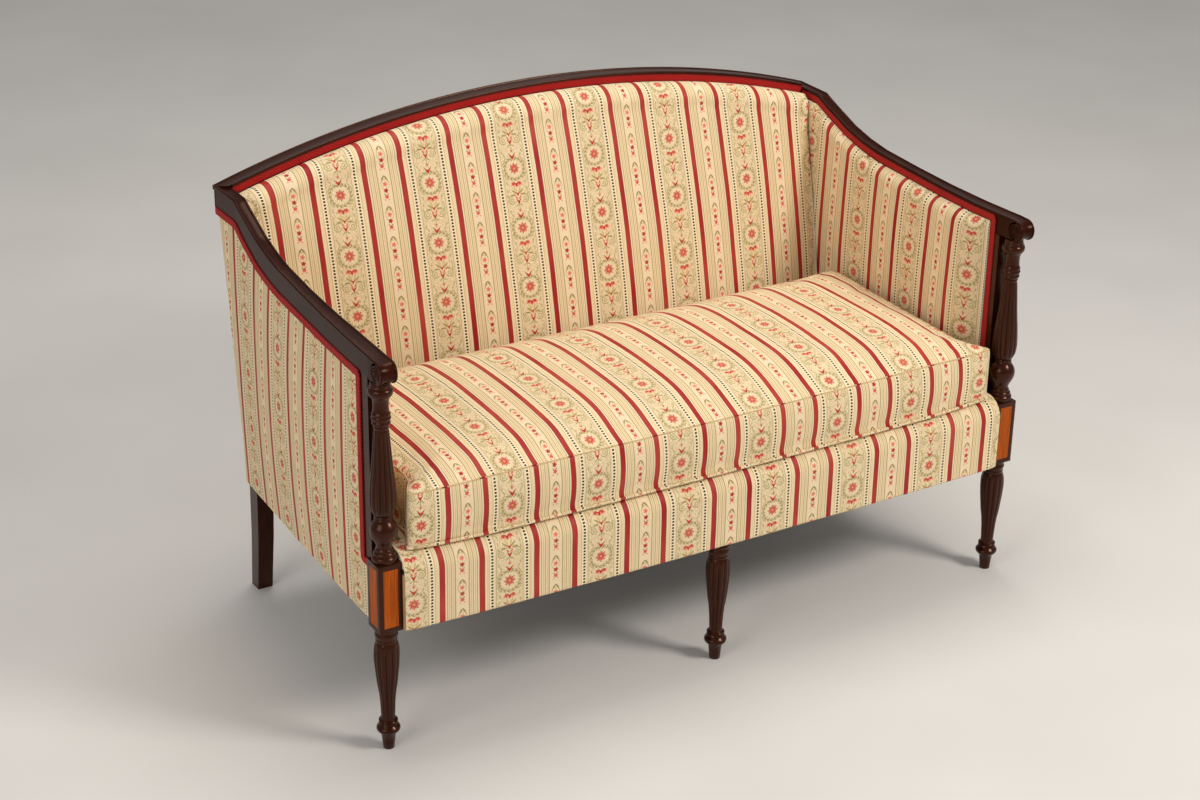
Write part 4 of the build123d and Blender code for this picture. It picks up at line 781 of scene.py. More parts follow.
def panelled_block(name, x, y):
    """Square block between leg and baluster, with a shallow bed for each inlaid panel."""
    clear_selection()
    middle = (LEG_LENGTH + BLOCK_TOP) / 2
    bpy.ops.mesh.primitive_cube_add(size=1, location=(x * mm, y * mm, middle * mm))
    piece = bpy.context.object
    piece.scale = (BLOCK_SIDE * mm, BLOCK_SIDE * mm, (BLOCK_TOP - LEG_LENGTH) * mm)
    settle(piece, name)
    for direction in (Vector((0, -1, 0)), Vector((1, 0, 0))):
        alone(piece)
        for item in (*piece.data.polygons, *piece.data.edges, *piece.data.vertices):
            item.select = False
        faces = [p for p in piece.data.polygons if p.normal.dot(direction) > 0.99]
        face = max(faces, key=lambda p: p.area)
        face.select = True
        bpy.ops.object.mode_set(mode="EDIT")
        bpy.ops.mesh.select_mode(type="FACE")
        bpy.ops.mesh.inset(thickness=(BLOCK_SIDE - PANEL_WIDTH) / 2 * mm, depth=0)
        bpy.ops.transform.resize(
            value=(1, 1, PANEL_HEIGHT / (BLOCK_TOP - LEG_LENGTH - (BLOCK_SIDE - PANEL_WIDTH))),
            center_override=(x * mm, y * mm, middle * mm),
        )
        bpy.ops.mesh.extrude_region_move(TRANSFORM_OT_translate={"value": tuple(direction * -PANEL_BED * mm)})
        bpy.ops.object.mode_set(mode="OBJECT")
    applied(piece, "BEVEL", width=0.9 * mm, segments=2, limit_method="ANGLE", angle_limit=math.radians(80))
    smooth(piece)
    return piece


front_post = joined(
    "reeded_post_right",
    turned("leg_turning", POST_X, LEG_Y, FOOT_ROWS + LEG_REED_ROWS + LEG_NECK_ROWS, 12),
    panelled_block("post_block", POST_X, LEG_Y),
    turned("baluster_turning", POST_X, LEG_Y, BULB_ROWS + VASE_ROWS + NECK_ROWS, 14),
)
dress_both(front_post, upright_wood, "show_wood", "front_post_right")

middle_leg = joined(
    "reeded_leg_middle",
    turned("middle_turning", 0, LEG_Y - 26.6, FOOT_ROWS + LEG_REED_ROWS + LEG_NECK_ROWS, 12),
    turned("middle_shank", 0, LEG_Y - 26.6, ((LEG_LENGTH, 24), (243, 24), (243.5, 12), (263, 12)), 12),
)
dress(middle_leg, upright_wood, "show_wood", "frame", "front_leg_middle")


# Moulded rails: a bead along each edge of the top and a shallow channel between them
def moulded(near, far, top, face, inner_low):
    """Ring of (across, height) points of a rail's section, from its inner bottom round over the top."""
    turns = [math.pi * (1 - index / 6) for index in range(7)]
    bead = [(BEAD_WIDTH / 2 * (1 + math.cos(turn)), BEAD_RISE * math.sin(turn)) for turn in turns]
    shoulder = top - BEAD_RISE
    span = far - near - 2 * BEAD_WIDTH
    return [
        (near + INNER_STEP, inner_low), (near + INNER_STEP, top - LIP), (near, top - LIP), (near, shoulder - 0.6),
        *((near + x, shoulder + z) for x, z in bead),
        *((near + BEAD_WIDTH + span * s, shoulder - 1.1 * math.sin(math.pi * s)) for s in (0.1, 0.3, 0.5, 0.7, 0.9)),
        *((far - BEAD_WIDTH + x, shoulder + z) for x, z in bead),
        (far, shoulder - 0.6), (far, top - 8.2), (far - 0.8, top - 9.0), (far - OVERHANG, top - 9.0),
        (far - OVERHANG, top - face), (far - OVERHANG - 0.8, top - face - GIMP_WIDTH),
        (near + INNER_STEP, top - face - GIMP_WIDTH),
    ]


def crest_ring(x):
    """Section of the crest at x, cut back at the ends along the mitre."""
    ring = []
    for y, drop_z in moulded(CREST_FRONT_Y, BACK_Y, 0, CREST_FACE, -CREST_FACE - GIMP_WIDTH):
        limit = between(CORNER_X - 24.5, CORNER_X, (y - CREST_FRONT_Y) / CREST_DEPTH)
        place = clamped(x * limit / CORNER_X, -limit, limit)
        ring.append((place, y, arch_z(place, -drop_z)))
    return ring


crest = skin("moulded_crest", [crest_ring(CORNER_X * math.sin(math.pi / 2 * (i / 48 - 1))) for i in range(0, 97)])
smooth(crest, 40)
dress(crest, crest_wood, "show_wood", "frame", "crest_rail")

NOSE_RADIUS = 20.5
NOSE_Y = LEG_Y - 37.5 + NOSE_RADIUS


def arm_ring(y):
    """Section of the right arm rail at depth y, cut along the mitre at the back."""
    inner, outer, top = arm_inner(y), arm_outer(y), arm_top(y)
    ring = []
    for x, z in moulded(inner, outer, top, arm_face(y), top - arm_face(y) - GIMP_WIDTH):
        place_y = y
        if y > CREST_FRONT_Y - 1:
            place_y = between(CREST_FRONT_Y, BACK_Y, (x - inner) / (outer - inner))
        ring.append((x, place_y, z))
    return ring


def arm_rail_part():
    """Run of the arm rail; over the post it ends at its face, with no tacking strip below."""
    rings = []
    for y in [LEG_Y + CREASE_REACH * i / 60 for i in range(1, 61)] + [CREST_FRONT_Y - 2, CREST_FRONT_Y]:
        low = arm_top(y) - arm_face(y) if y < LEG_Y + 59 else 0
        rings.append([(x, depth, max(z, low)) for x, depth, z in arm_ring(y)])
    return skin("arm_run", rings)


def scroll_nose():
    """Rounded end of the arm: the top moulding rolls over it, with a volute and boss on each side."""
    inner, outer, top = arm_inner(LEG_Y), arm_outer(LEG_Y), arm_top(LEG_Y)
    centre_z, rear_y, flat = top - NOSE_RADIUS, LEG_Y + 11, NOSE_RADIUS - 2.4
    columns = [(x, top - z) for x, z in moulded(inner, outer, top, RAIL_FACE, top - RAIL_FACE) if z > top - LIP]
    rings = [[(x, rear_y, top - drop) for x, drop in columns]]
    for angle in range(90, 271, 10):
        way_y, way_z = math.cos(math.radians(angle)), math.sin(math.radians(angle))
        rings.append([
            (x, NOSE_Y + (NOSE_RADIUS - drop) * way_y, centre_z + (NOSE_RADIUS - drop) * way_z)
            for x, drop in columns
        ])
    rings.append([(x, rear_y, centre_z - NOSE_RADIUS + drop) for x, drop in columns])
    rows, count = len(rings) - 1, len(columns) - 1
    parts = [laid_out(
        "nose_roll", count, rows, lambda s, t: rings[round(t * rows)][round(s * count)], outward=(0, -1, 0)
    )]
    for x, way in ((inner, -1), (outer, 1)):
        for reach in (12.5, 8.0):
            clear_selection()
            bpy.ops.mesh.primitive_torus_add(
                major_segments=40, minor_segments=10, major_radius=reach * mm, minor_radius=1.7 * mm,
                location=((x - way * 0.4) * mm, (NOSE_Y + 1) * mm, centre_z * mm), rotation=(0, math.pi / 2, 0),
            )
            parts.append(settle(bpy.context.object, "volute_ring"))
        clear_selection()
        bpy.ops.mesh.primitive_uv_sphere_add(
            segments=24, ring_count=12, radius=5.2 * mm, location=(x * mm, (NOSE_Y + 1) * mm, centre_z * mm)
        )
        bpy.context.object.scale = (0.5, 1, 1)
        parts.append(settle(bpy.context.object, "volute_boss"))

        def cheek(s, t):
            turn = 2 * math.pi * t
            return (x, NOSE_Y + flat * s * math.cos(turn), centre_z + flat * s * math.sin(turn))

        def side_plate(s, t):
            return (x, between(NOSE_Y, rear_y, s), between(centre_z - flat, centre_z + flat, t))

        parts.append(laid_out("nose_cheek", 1, 24, cheek, outward=(way, 0, 0)))
        parts.append(laid_out("nose_side", 1, 1, side_plate, outward=(way, 0, 0)))
    return joined("scroll_nose", *parts)


arm_right = joined("moulded_arm_right", arm_rail_part(), scroll_nose())
smooth(arm_right, 40)
dress_both(arm_right, rail_wood, "show_wood", "arm_rail_right")


# Covers: a grid of cloth laid over each pad
def laid(across, pitch):
    """Cloth direction across the stripes, where the stripes lie this pitch apart on the piece."""
    return across * REPEAT / pitch * mm


def cover(name, columns, rows, place, cloth_place, outward, thickness):
    """Striped cover; one for the right gets its twin on the left."""
    piece = laid_out(name, columns, rows, place, cloth_place, outward)
    thicken(piece, thickness)
    smooth(piece, 60)
    node = name.replace("cloth", "cover")
    if name.endswith("right"):
        pieces = dress_both(piece, cover_cloth, "stripe_cover", node)
    else:
        pieces = [dress(piece, cover_cloth, "stripe_cover", "frame", node)]


FRONT_HALF = POST_X - BLOCK_SIDE / 2 - 0.3
ROLL_RADIUS, ROLL_TOP = 38.0, 381.7


def front_path(share):
    """Section of the covered front rail: up its face and round the edge roll."""
    face = LEG_Y - 34 - 10 * (1 - share ** 2)
    centre_y, centre_z = face + ROLL_RADIUS, ROLL_TOP - ROLL_RADIUS
    kink = math.sqrt(0.5) * ROLL_RADIUS
    path = [(face + 14, 240.6), (face + 3, 240.0), (face + 0.6, 241.2), (face, 244.0), (face, centre_z)]
    path += arc((face, centre_z), (centre_y - kink, centre_z + kink), (centre_y, centre_z + ROLL_RADIUS), 16)[1:]
    path.append((LEG_Y + 30, centre_z + ROLL_RADIUS))
    return evenly(path, 60)


def front_place(s, t):
    share = 2 * s - 1
    (y, z), _ = front_path(share)[round(t * 60)]
    swell = 1.2 * ripple(share * 5.0, z * 0.012, 3.0) * (1 - abs(share) ** 6)
    pinch = 2.5 * max(0.0, (abs(share) - 0.965) / 0.035) ** 2
    return (FRONT_HALF * share, y + swell + pinch, z)


def front_cloth(s, t):
    share = 2 * s - 1
    return (laid(FRONT_HALF * share - 13, 181.5), (front_path(share)[round(t * 60)][1] - 62) * mm)


cover(
    "front_rail_cloth", 120, 60, front_place, front_cloth, (0, -1, 0.3), 1.5,
)


# Inside back
def back_outline(share):
    x = BACK_HALF * share
    middle = 1 - abs(share) ** 2.2
    seat_y = LEG_Y + between(533, 478, middle)
    roll_y = LEG_Y + between(609, 600, middle)
    crown = between(4, 12, middle)
    top_z = arch_z(x, LIP + GIMP_WIDTH)
    roll_z = top_z - 34
    low_z = SIDE_RAIL_TOP + 1.5
    end_y = CREST_FRONT_Y - BEAD_RISE
    seat, roll, end = (seat_y, low_z + 50), (roll_y, roll_z), (end_y, top_z)
    mid = ((seat_y + roll_y) / 2 - crown, (seat[1] + roll_z) / 2)
    bend = (between(roll_y, end_y, 0.35), between(roll_z, top_z, 1 - 0.35 ** 2 + 0.35 / 4))
    path = [(seat_y, low_z)] + arc(seat, mid, roll, 40) + arc(roll, bend, end, 16)[1:]
    return evenly(path, 90)


def back_place(s, t):
    share = 2 * s - 1
    (y, z), _ = back_outline(share)[round(t * 90)]
    spread = 17.2 * max(0.0, (t - 0.78) / 0.22) ** 1.5 * abs(share) ** 12
    z -= 0.31 * spread
    edge = max(0.0, (abs(share) - 0.97) / 0.03)
    swell = 2.0 * ripple(share * 3.2, z * 0.006, 9.0) * (1 - edge) * math.sin(math.pi * t) ** 0.5
    return (BACK_HALF * share + math.copysign(spread, share), y + swell + 6 * edge ** 2 * (1 - t), z)


def back_cloth(s, t):
    share = 2 * s - 1
    return ((BACK_HALF * share + 3) * mm, (back_outline(share)[round(t * 90)][1] + 14) * mm)


cover(
    "inside_back_cloth", 160, 90, back_place, back_cloth, (0, -1, 0.1), 1.4,
)

# Inside arms
ARM_PAD_FRONT = INSIDE_EDGE + GIMP_WIDTH + CLEAR
ARM_PAD_BACK = CREST_FRONT_Y - 0.3


def arm_path(y):
    full = math.sin(clamped((y - ARM_PAD_FRONT) / (4 * GIMP_WIDTH)) * math.pi / 2)
    top_z = arm_top(y) - LIP - GIMP_WIDTH - CLEAR
    top_x = arm_inner(y) + INNER_STEP - 1.5 - 1.2
    edge_x = 644.4 - 1.5 - 0.6 - GIMP_RISE
    low_x = between(edge_x, 615.8, full)
    mid_x = between(edge_x - 0.6, 611.8, full)
    roll_x = between(edge_x, 617.8, full)
    roll_z = top_z - 26
    bend = (between(roll_x, top_x, 0.35), between(roll_z, top_z, 0.72))
    path = arc((low_x, INSIDE_LOW), (mid_x, (INSIDE_LOW + roll_z) / 2), (roll_x, roll_z), 30)
    path += arc((roll_x, roll_z), bend, (top_x, top_z), 12)[1:]
    return evenly(path, 60)


def arm_depth(s, t):
    """Depth along the arm: the rear edge leans back with the back's face."""
    z = arm_path(ARM_PAD_FRONT)[round(t * 60)][0][1]
    rear = min(ARM_PAD_BACK, LEG_Y + 545 + (z - SIDE_RAIL_TOP) * 0.30)
    return between(ARM_PAD_FRONT, rear, s)


def arm_place(s, t):
    y = arm_depth(s, t)
    (x, z), _ = arm_path(y)[round(t * 60)]
    swell = 1.5 * ripple(y * 0.007, z * 0.007, 21.0) * math.sin(math.pi * clamped(s)) ** 0.5
    return (x + swell, y, z)


def arm_cloth(s, t):
    y = arm_depth(s, t)
    return (laid(y - LEG_Y - 168, 170), (arm_path(y)[round(t * 60)][1] - 20) * mm)


cover(
    "inside_arm_cloth_right", 90, 60, arm_place, arm_cloth, (-1, 0, 0.1), 1.4,
)

# Outside arms
OUTER_FRONT = LEG_Y + BLOCK_SIDE / 2 + 0.3
OUTER_BULGE = ((0.0, 0.0), (0.15, 0.45), (0.4, 1.0), (0.7, 0.9), (0.9, 0.35), (1.0, 0.1))


def outer_path(y):
    share = min(1.0, (y - OUTER_FRONT) / (rear_post_back(POST_TOP) - OUTER_FRONT))
    top_z = arm_top(y) - arm_face(y) - GIMP_WIDTH - CLEAR
    top_x = arm_outer(y) - OVERHANG
    low_x = between(670.4, 640.5, share ** 1.3)
    mid_x = (top_x + low_x) / 2 + 9 * table(OUTER_BULGE, share)
    middle = (mid_x, between(COVER_LOW, top_z, 0.45))
    return evenly(arc((low_x, COVER_LOW), middle, (top_x, top_z), 60), 60)


def outer_depth(s, t):
    z = between(COVER_LOW, 700.0, t)
    front = OUTSIDE_EDGE + GIMP_WIDTH - 1 if z > SIDE_RAIL_TOP else OUTER_FRONT
    return between(front, outside_back_y(z), s)


def outer_place(s, t):
    y = outer_depth(s, t)
    (x, z), _ = outer_path(y)[round(t * 60)]
    y = between(outer_depth(0, t), outside_back_y(z), s)
    (x, z), _ = outer_path(y)[round(t * 60)]
    swell = 1.2 * ripple(y * 0.006, z * 0.006, 33.0) * math.sin(math.pi * s) ** 0.5
    return (x + swell, y, z)


def outer_cloth(s, t):
    x, y, z = outer_place(s, t)
    return (laid(y - LEG_Y - 165, 160), (z - 262) * mm)


cover(
    "outside_arm_cloth_right", 90, 60, outer_place, outer_cloth, (1, 0, 0), 1.6,
)


# Outside back
REAR_HALF = 628.0  # where the arch ends and the rear posts begin


def rear_place(s, t):
    foot_half = between(632, 648, COVER_LOW / POST_TOP) - 0.8
    x = between(foot_half, 646.5, min(1.0, t * 1.1)) * (2 * s - 1)
    top = arch_z(clamped(x, -REAR_HALF, REAR_HALF), CREST_FACE + GIMP_WIDTH + CLEAR)
    if abs(x) > REAR_HALF:
        top = min(top, POST_TOP - OVERHANG - 0.4)
    z = between(COVER_LOW + CLEAR, top, t)
    return (x, outside_back_y(z) + 2.1, z)


def rear_cloth(s, t):
    x, y, z = rear_place(s, t)
    return ((x + 3) * mm, (z - 262) * mm)


cover(
    "outside_back_cloth", 120, 60, rear_place, rear_cloth, (0, 1, 0), 1.6,
)


# Gimp: a domed strip of braid along a path, with its width across it
GIMP_OUTLINE = (
    (-0.5, 0.0), (-0.5, 0.55), (-0.44, 0.95), (-0.36, 0.8), (-0.18, 1.0), (0.0, 0.9), (0.18, 1.0), (0.36, 0.8),
    (0.44, 0.95), (0.5, 0.55), (0.5, 0.0), (0.0, 0.0),
)


def gimp(name, path, face, rise, node):
    """Strip on a path's points, facing one way; one for the right gets its twin on the left."""
    face, width = Vector(face), GIMP_WIDTH - 0.4
    rings, flats, length = [], [], 0.0
    for index, point in enumerate(path):
        before, after = path[max(0, index - 1)], path[min(len(path) - 1, index + 1)]
        side = face.cross(Vector(after) - Vector(before)).normalized()
        length += math.dist(before, point)
        rings.append([tuple(Vector(point) + side * width * a + face * rise * h) for a, h in GIMP_OUTLINE])
        row = [(width * a * mm, length * mm) for a, _ in GIMP_OUTLINE]
        flats.append(row + [row[0]])
    strip = skin(name, rings, flats)
    smooth(strip, 50)
    if name.endswith("right"):
        dress_both(strip, gimp_cloth, "red_gimp", node)
    else:
        dress(strip, gimp_cloth, "red_gimp", "frame", node)


def turned_corner(before, corner, after):
    """Points that round a corner of a path, from 5 mm before it to 5 mm after it."""
    b, c, a = Vector(before), Vector(corner), Vector(after)
    start, end = c + (b - c).normalized() * 5, c + (a - c).normalized() * 5
    return [tuple(start.lerp(c, t).lerp(c.lerp(end, t), t)) for t in (0, 0.25, 0.5, 0.75, 1)]


def inner_gimp_path():
    """Along the inner edge of the arm rail and down the stile."""
    front = INSIDE_EDGE + GIMP_WIDTH / 2

    def edge(y):
        return (arm_inner(y) + INNER_STEP, y, arm_top(y) - LIP - GIMP_WIDTH / 2)

    run = [edge(y) for y in (CREST_FRONT_Y - 3 - 10 * i for i in range(60)) if y > front + 10]
    x = arm_inner(LEG_Y + 60) + INNER_STEP
    corner, foot = (x, front, edge(front)[2]), (x, front, INSIDE_LOW)
    down = [(x, front, between(corner[2] - 6, foot[2], i / 12)) for i in range(1, 13)]
    return run + turned_corner(run[-1], corner, foot) + down


def outer_gimp_path():
    """Along the outer edge of the arm rail, down the stile and forward and down the post."""
    front, step_y = OUTSIDE_EDGE + GIMP_WIDTH / 2, OUTER_FRONT + GIMP_WIDTH / 2

    def edge(y):
        return (arm_outer(y) - OVERHANG, y, arm_top(y) - arm_face(y) - GIMP_WIDTH / 2)

    path = [edge(y) for y in (BACK_Y - 6 - 10 * i for i in range(70)) if y > front + 10]
    x, step_z = arm_outer(LEG_Y + 45) - OVERHANG, SIDE_RAIL_TOP - GIMP_WIDTH / 2
    corner, knee = (x, front, edge(front)[2]), (x, front, step_z)
    step, foot = (x, step_y, step_z), (x, step_y, COVER_LOW + 0.4)
    path += turned_corner(path[-1], corner, knee)
    path += [(x, front, between(corner[2] - 6, knee[2] + 6, i / 10)) for i in range(1, 11)]
    path += turned_corner(path[-1], knee, step)
    path += turned_corner(path[-1], step, foot)
    return path + [(x, step_y, between(step_z - 6, foot[2], i / 6)) for i in range(1, 7)]


def arch_line(half, y, drop):
    return [(x, y, arch_z(x, drop)) for x in (half * (i / 60 - 1) for i in range(121))]


inside_line = arch_line(627.5, CREST_FRONT_Y + INNER_STEP, LIP + GIMP_WIDTH / 2)
outside_line = arch_line(645, BACK_Y - 3.6, CREST_FACE + GIMP_WIDTH / 2)
gimp("gimp_inside_back", inside_line, (0, -1, 0), 2.4, "inside_back_gimp")
gimp("gimp_outside_back", outside_line, (0, 1, 0), 2.0, "outside_back_gimp")
gimp("gimp_inside_arm_right", inner_gimp_path(), (-1, 0, 0), 2.2, "inside_arm_gimp_right")
gimp("gimp_outside_arm_right", outer_gimp_path(), (1, 0, 0), 2.2, "outside_arm_gimp_right")

# Seat cushion: a top, a bottom and a boxing strip, sewn together and blown up as cloth
CUSHION_HALF = 605.0
CUSHION_FRONT = LEG_Y - 26.0
CUSHION_BACK = LEG_Y + 470.0
CUSHION_LOW = 382.5
CUSHION_SEAM = 485.0
CROWN = 29
COLUMNS, DEPTHS, LEVELS = 120, 50, 11
EAR = 0.042  # share by which the front corners reach out, in front of the posts
FRAMES = 20
MOST_MOVE = 14  # by the simulation
CORNER_REACH = 130
FOLD = 8.32  # height of the folds at the corners
EAR_HALF, EAR_DEPTH = 633.0, 70  # room in front of the arms: half its width and where it ends
ZIP_HALF, ZIP_BAND = 290, 16  # half length and half height of the flat bed of the zip


def cushion_plan(s, t):
    x = CUSHION_HALF * (2 * s - 1)
    y = between(CUSHION_FRONT - 8.0 * (1 - (x / CUSHION_HALF) ** 2), CUSHION_BACK, t)
    pull = 5 * max(0.0, abs(2 * s - 1) - 0.97) / 0.03 * max(0.0, abs(2 * t - 1) - 0.93) / 0.07
    x *= 1 + EAR * max(0.0, 1 - t / 0.2) ** 2
    return x - math.copysign(pull, x), y - math.copysign(pull, t - 0.5)


def cushion_top(s, t):
    across, deep = 1 - abs(2 * s - 1) ** 5, 1 - abs(2 * t - 1) ** 2.6
    return (*cushion_plan(s, t), CUSHION_SEAM + CROWN * across * deep)


def cushion_base(s, t):
    return (*cushion_plan(s, t), CUSHION_LOW)


def round_the_edge(s):
    """Column and depth shares of a place on the boxing strip, from the front left corner."""
    step = round(s * 2 * (COLUMNS + DEPTHS))
    if step <= COLUMNS:
        return step / COLUMNS, 0.0
    if step <= COLUMNS + DEPTHS:
        return 1.0, (step - COLUMNS) / DEPTHS
    if step <= 2 * COLUMNS + DEPTHS:
        return 1 - (step - COLUMNS - DEPTHS) / COLUMNS, 1.0
    return 0.0, 1 - (step - 2 * COLUMNS - DEPTHS) / DEPTHS


def boxing_place(s, t):
    run, depth = round_the_edge(s)
    x, y, top = cushion_top(run, depth)
    swell = 4 * t * (1 - t)
    if depth in (0.0, 1.0):
        y += (9.0 if depth else -9.0) * swell * (1 - abs(2 * run - 1) ** 10) * (0.4 if depth else 1.0)
    if run in (0.0, 1.0):
        x += (3.5 if run else -3.5) * swell * (1 - abs(2 * depth - 1) ** 8)
    return (x, y, between(CUSHION_LOW, top, t))


def cushion_u(x):
    return laid(x + 3, 171)


def plan_cloth(s, t):
    x, y = cushion_plan(s, t)
    return (cushion_u(x), (y - LEG_Y + 8) * mm)


def boxing_cloth(s, t):
    x, y, z = boxing_place(s, t)
    run, depth = round_the_edge(s)
    if run in (0.0, 1.0) and 0 < depth < 1:
        return ((y - LEG_Y) * mm, (z - 400) * mm)
    return (cushion_u(x), (z - 424) * mm)


cushion = joined(
    "seat_cushion",
    laid_out("cushion_top", COLUMNS, DEPTHS, cushion_top, plan_cloth, (0, 0, 1)),
    laid_out("cushion_base", COLUMNS, DEPTHS, cushion_base, plan_cloth, (0, 0, -1)),
    laid_out("cushion_boxing", 2 * (COLUMNS + DEPTHS), LEVELS, boxing_place, boxing_cloth),
)
weld(cushion)
start_places = [vertex.co.copy() for vertex in cushion.data.vertices]

alone(cushion)
cloth = cushion.modifiers.new("stuffed", "CLOTH")
for key, value in (
    ("quality", 6), ("mass", 0.3), ("use_pressure", True), ("uniform_pressure_force", 5.0),
    ("tension_stiffness", 8), ("compression_stiffness", 8), ("shear_stiffness", 3), ("bending_stiffness", 0.6),
):
    setattr(cloth.settings, key, value)
cloth.settings.effector_weights.gravity = 0
cloth.point_cache.frame_start, cloth.point_cache.frame_end = 1, FRAMES
for step in range(1, FRAMES + 1):
    bpy.context.scene.frame_set(step)
bpy.ops.object.modifier_apply(modifier=cloth.name)
bpy.context.scene.frame_set(1)


def nearest_corner(place):
    """Offset from the cushion's nearest corner, and a share: 1 at it, 0 from CORNER_REACH away."""
    x, y = place.x / mm, place.y / mm
    dx = x - math.copysign(CUSHION_HALF, x)
    dy = min(y - CUSHION_FRONT, y - CUSHION_BACK, key=abs)
    return dx, dy, max(0.0, 1 - math.hypot(dx, dy) / CORNER_REACH)


for vertex, start in zip(cushion.data.vertices, start_places):
    dx, dy, corner = nearest_corner(start)
    move = vertex.co - start
    if move.length > MOST_MOVE * mm:
        move *= MOST_MOVE * mm / move.length
    if start.z < (CUSHION_LOW + 1) * mm:
        move.z = 0
        move *= 0.3 + 0.65 * corner
    place = start + move
    if start.z > (CUSHION_SEAM + 4) * mm:
        wave = 1.6 * ripple(start.x * 7, start.y * 9, 4.0) + 0.8 * ripple(start.x * 22, start.y * 15, 8.0)
        place.z += wave * mm
    if corner and start.z > (CUSHION_LOW + 20) * mm:
        fold = math.sin(11 * math.atan2(dy, dx) + math.copysign(0.8, start.x))
        place.z += FOLD * fold * (1 - corner) * corner ** 1.5 * mm
    reach = between(SEAT_HALF, EAR_HALF, clamped((LEG_Y + EAR_DEPTH - place.y / mm) / EAR_DEPTH)) * mm
    at_zip = abs(start.x) < ZIP_HALF * mm and abs(start.z - (CUSHION_LOW + CUSHION_SEAM) / 2 * mm) < ZIP_BAND * mm
    place.x = clamped(place.x, -reach, reach)
    place.y = min((CUSHION_BACK + (-0.4 if at_zip else 3)) * mm, place.y)
    place.z = max(CUSHION_LOW * mm, place.z)
    vertex.co = place
finder = kdtree.KDTree(len(start_places))
for index, start in enumerate(start_places):
    finder.insert(start, index)
finder.balance()


def edge_points(level):
    """Indices of the vertices round the boxing at one of its edges: 0 the lower, 1 the upper."""
    count = 2 * (COLUMNS + DEPTHS)
    return [finder.find(Vector(boxing_place(step / count, level)) * mm)[1] for step in range(count)]


seam_points = edge_points(1.0)
middle = Vector((0, LEG_Y + 220, CUSHION_LOW)) * mm
for index in set(seam_points):
    vertex = cushion.data.vertices[index]
    vertex.co += (middle - vertex.co).normalized() * 1.6 * mm
cushion.data.update()
applied(cushion, "SUBSURF", levels=1, render_levels=1)
smooth(cushion, 60)
dress(cushion, cover_cloth, "stripe_cover", "cushion", "cushion_cover")


def tube(name, path, radius, sides, side_reach, side_front, across):
    """Round closed cord on the cushion's edge; across gives the cloth map's second direction."""
    rings, flats = [], []
    turns = [2 * math.pi * k / sides for k in range(sides + 1)]
    for index, point in enumerate(path):
        along = (Vector(path[(index + 1) % len(path)]) - Vector(path[index - 1])).normalized()
        side = along.cross(Vector((0, 0, 1))).normalized()
        up = side.cross(along).normalized()
        rings.append([
            tuple(Vector(point) + (side * math.cos(turn) + up * math.sin(turn)) * radius) for turn in turns[:-1]
        ])
        x, y, _ = point
        u = cushion_u(x) if abs(x) < side_reach or y < side_front else (y - LEG_Y) * mm
        flats.append([(u, across(y, turn) * mm) for turn in turns])
    piece = skin(name, rings + rings[:1], flats + flats[:1], ends=False)
    smooth(piece, 60)
    return piece


seam_line = [tuple(cushion.data.vertices[index].co / mm) for index in seam_points]
seam_line = [point for index, point in enumerate(seam_line) if math.dist(point, seam_line[index - 1]) > 1.0]
top_seam = tube(
    "cushion_top_seam", seam_line, 1.25, 6, 598, LEG_Y - 18, lambda y, turn: turn * 1.3 + y * 0.2 + 26
)
dress(top_seam, seam_thread(), "stripe_cover", "cushion")


def welt_place(index):
    """A point of the welt: the foot of the boxing, moved a little outwards."""
    foot = cushion.data.vertices[index].co / mm
    inside = Vector((clamped(foot.x, -580, 580), clamped(foot.y, LEG_Y, CUSHION_BACK - 25)))
    way = (foot.xy - inside).normalized()
    return (foot.x + way.x * 1.2, foot.y + way.y * (3.8 if way.y < 0 else 2.5), CUSHION_LOW + 2.6)


welt_line = [welt_place(index) for index in edge_points(0.0)]
welt = tube("cushion_bottom_welt", welt_line, 2.9, 10, 604, LEG_Y - 20, lambda y, turn: turn * 3 + y * 0.2)
dress(welt, cover_cloth, "stripe_cover", "cushion", "cushion_welt")


# Deck cloth under the cushion and lining under the seat
def deck_place(s, t):
    y = between(LEG_Y + 30.5, LEG_Y + 465.5, t)
    return (SEAT_HALF * (2 * s - 1), y, 381.0 + 0.4 * ripple(s * 9, t * 5, 1.0))


dust_low, dust_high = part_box("dust_cover")


def lining_place(s, t):
    y = between(dust_low.y / mm, dust_high.y / mm, t)
    half = 637.0 if y < LEG_Y + 22.6 else between(648.0, 622.0, min(1.0, (y - LEG_Y - 22) / 540))
    half = min(half, 602.0) if t > 0.955 else half - 2
    sag = 2.0 * math.sin(math.pi * s) * math.sin(math.pi * t)
    return (half * (2 * s - 1), y, 242.6 - sag)


for name, grid, place, way, thickness, material, node, flat, held, pads in (
    ("deck_cloth_panel", (40, 16), deck_place, 1, 1.2, decking, "deck_cover", (1.23, 0.44), "laid", ["deck_pad"]),
    ("bottom_lining", (60, 66), lining_place, -1, 0.8, lining, "dust_cover", (1.29, 0.62), "stretched",
     ["front_seat_rail", "rear_seat_rail"]),
):
    piece = laid_out(name, *grid, place, lambda s, t: (s, t), (0, 0, way))
    thicken(piece, thickness)
    dress(piece, material, "lining", "frame", node)

# Finishes of the pieces that keep their solid shape
for material, *starts in (
    (upright_wood, "rear_post", "arm_stile"),
    (satinwood, "satinwood"),
    (frame_wood, "frame_dowels", "front_seat_rail", "rear_seat_rail", "side_seat_rail", "seat_brace",
     "front_corner_block", "rear_corner_block", "back_tack_rail", "back_upright", "arm_tack_rail"),
    (wire_finish, "corner_block_screws", "seat_springs", "spring_clips"),
    (jute, "spring_burlap", "back_webbing"),
    (wadding, "deck_pad", "front_edge_roll", "inside_back_pad", "inside_arm_pad", "cushion_core"),
    (tape, "cushion_zip"),
):
    for name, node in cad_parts.items():
        if name.startswith(tuple(starts)):
            paint_with(node, material)

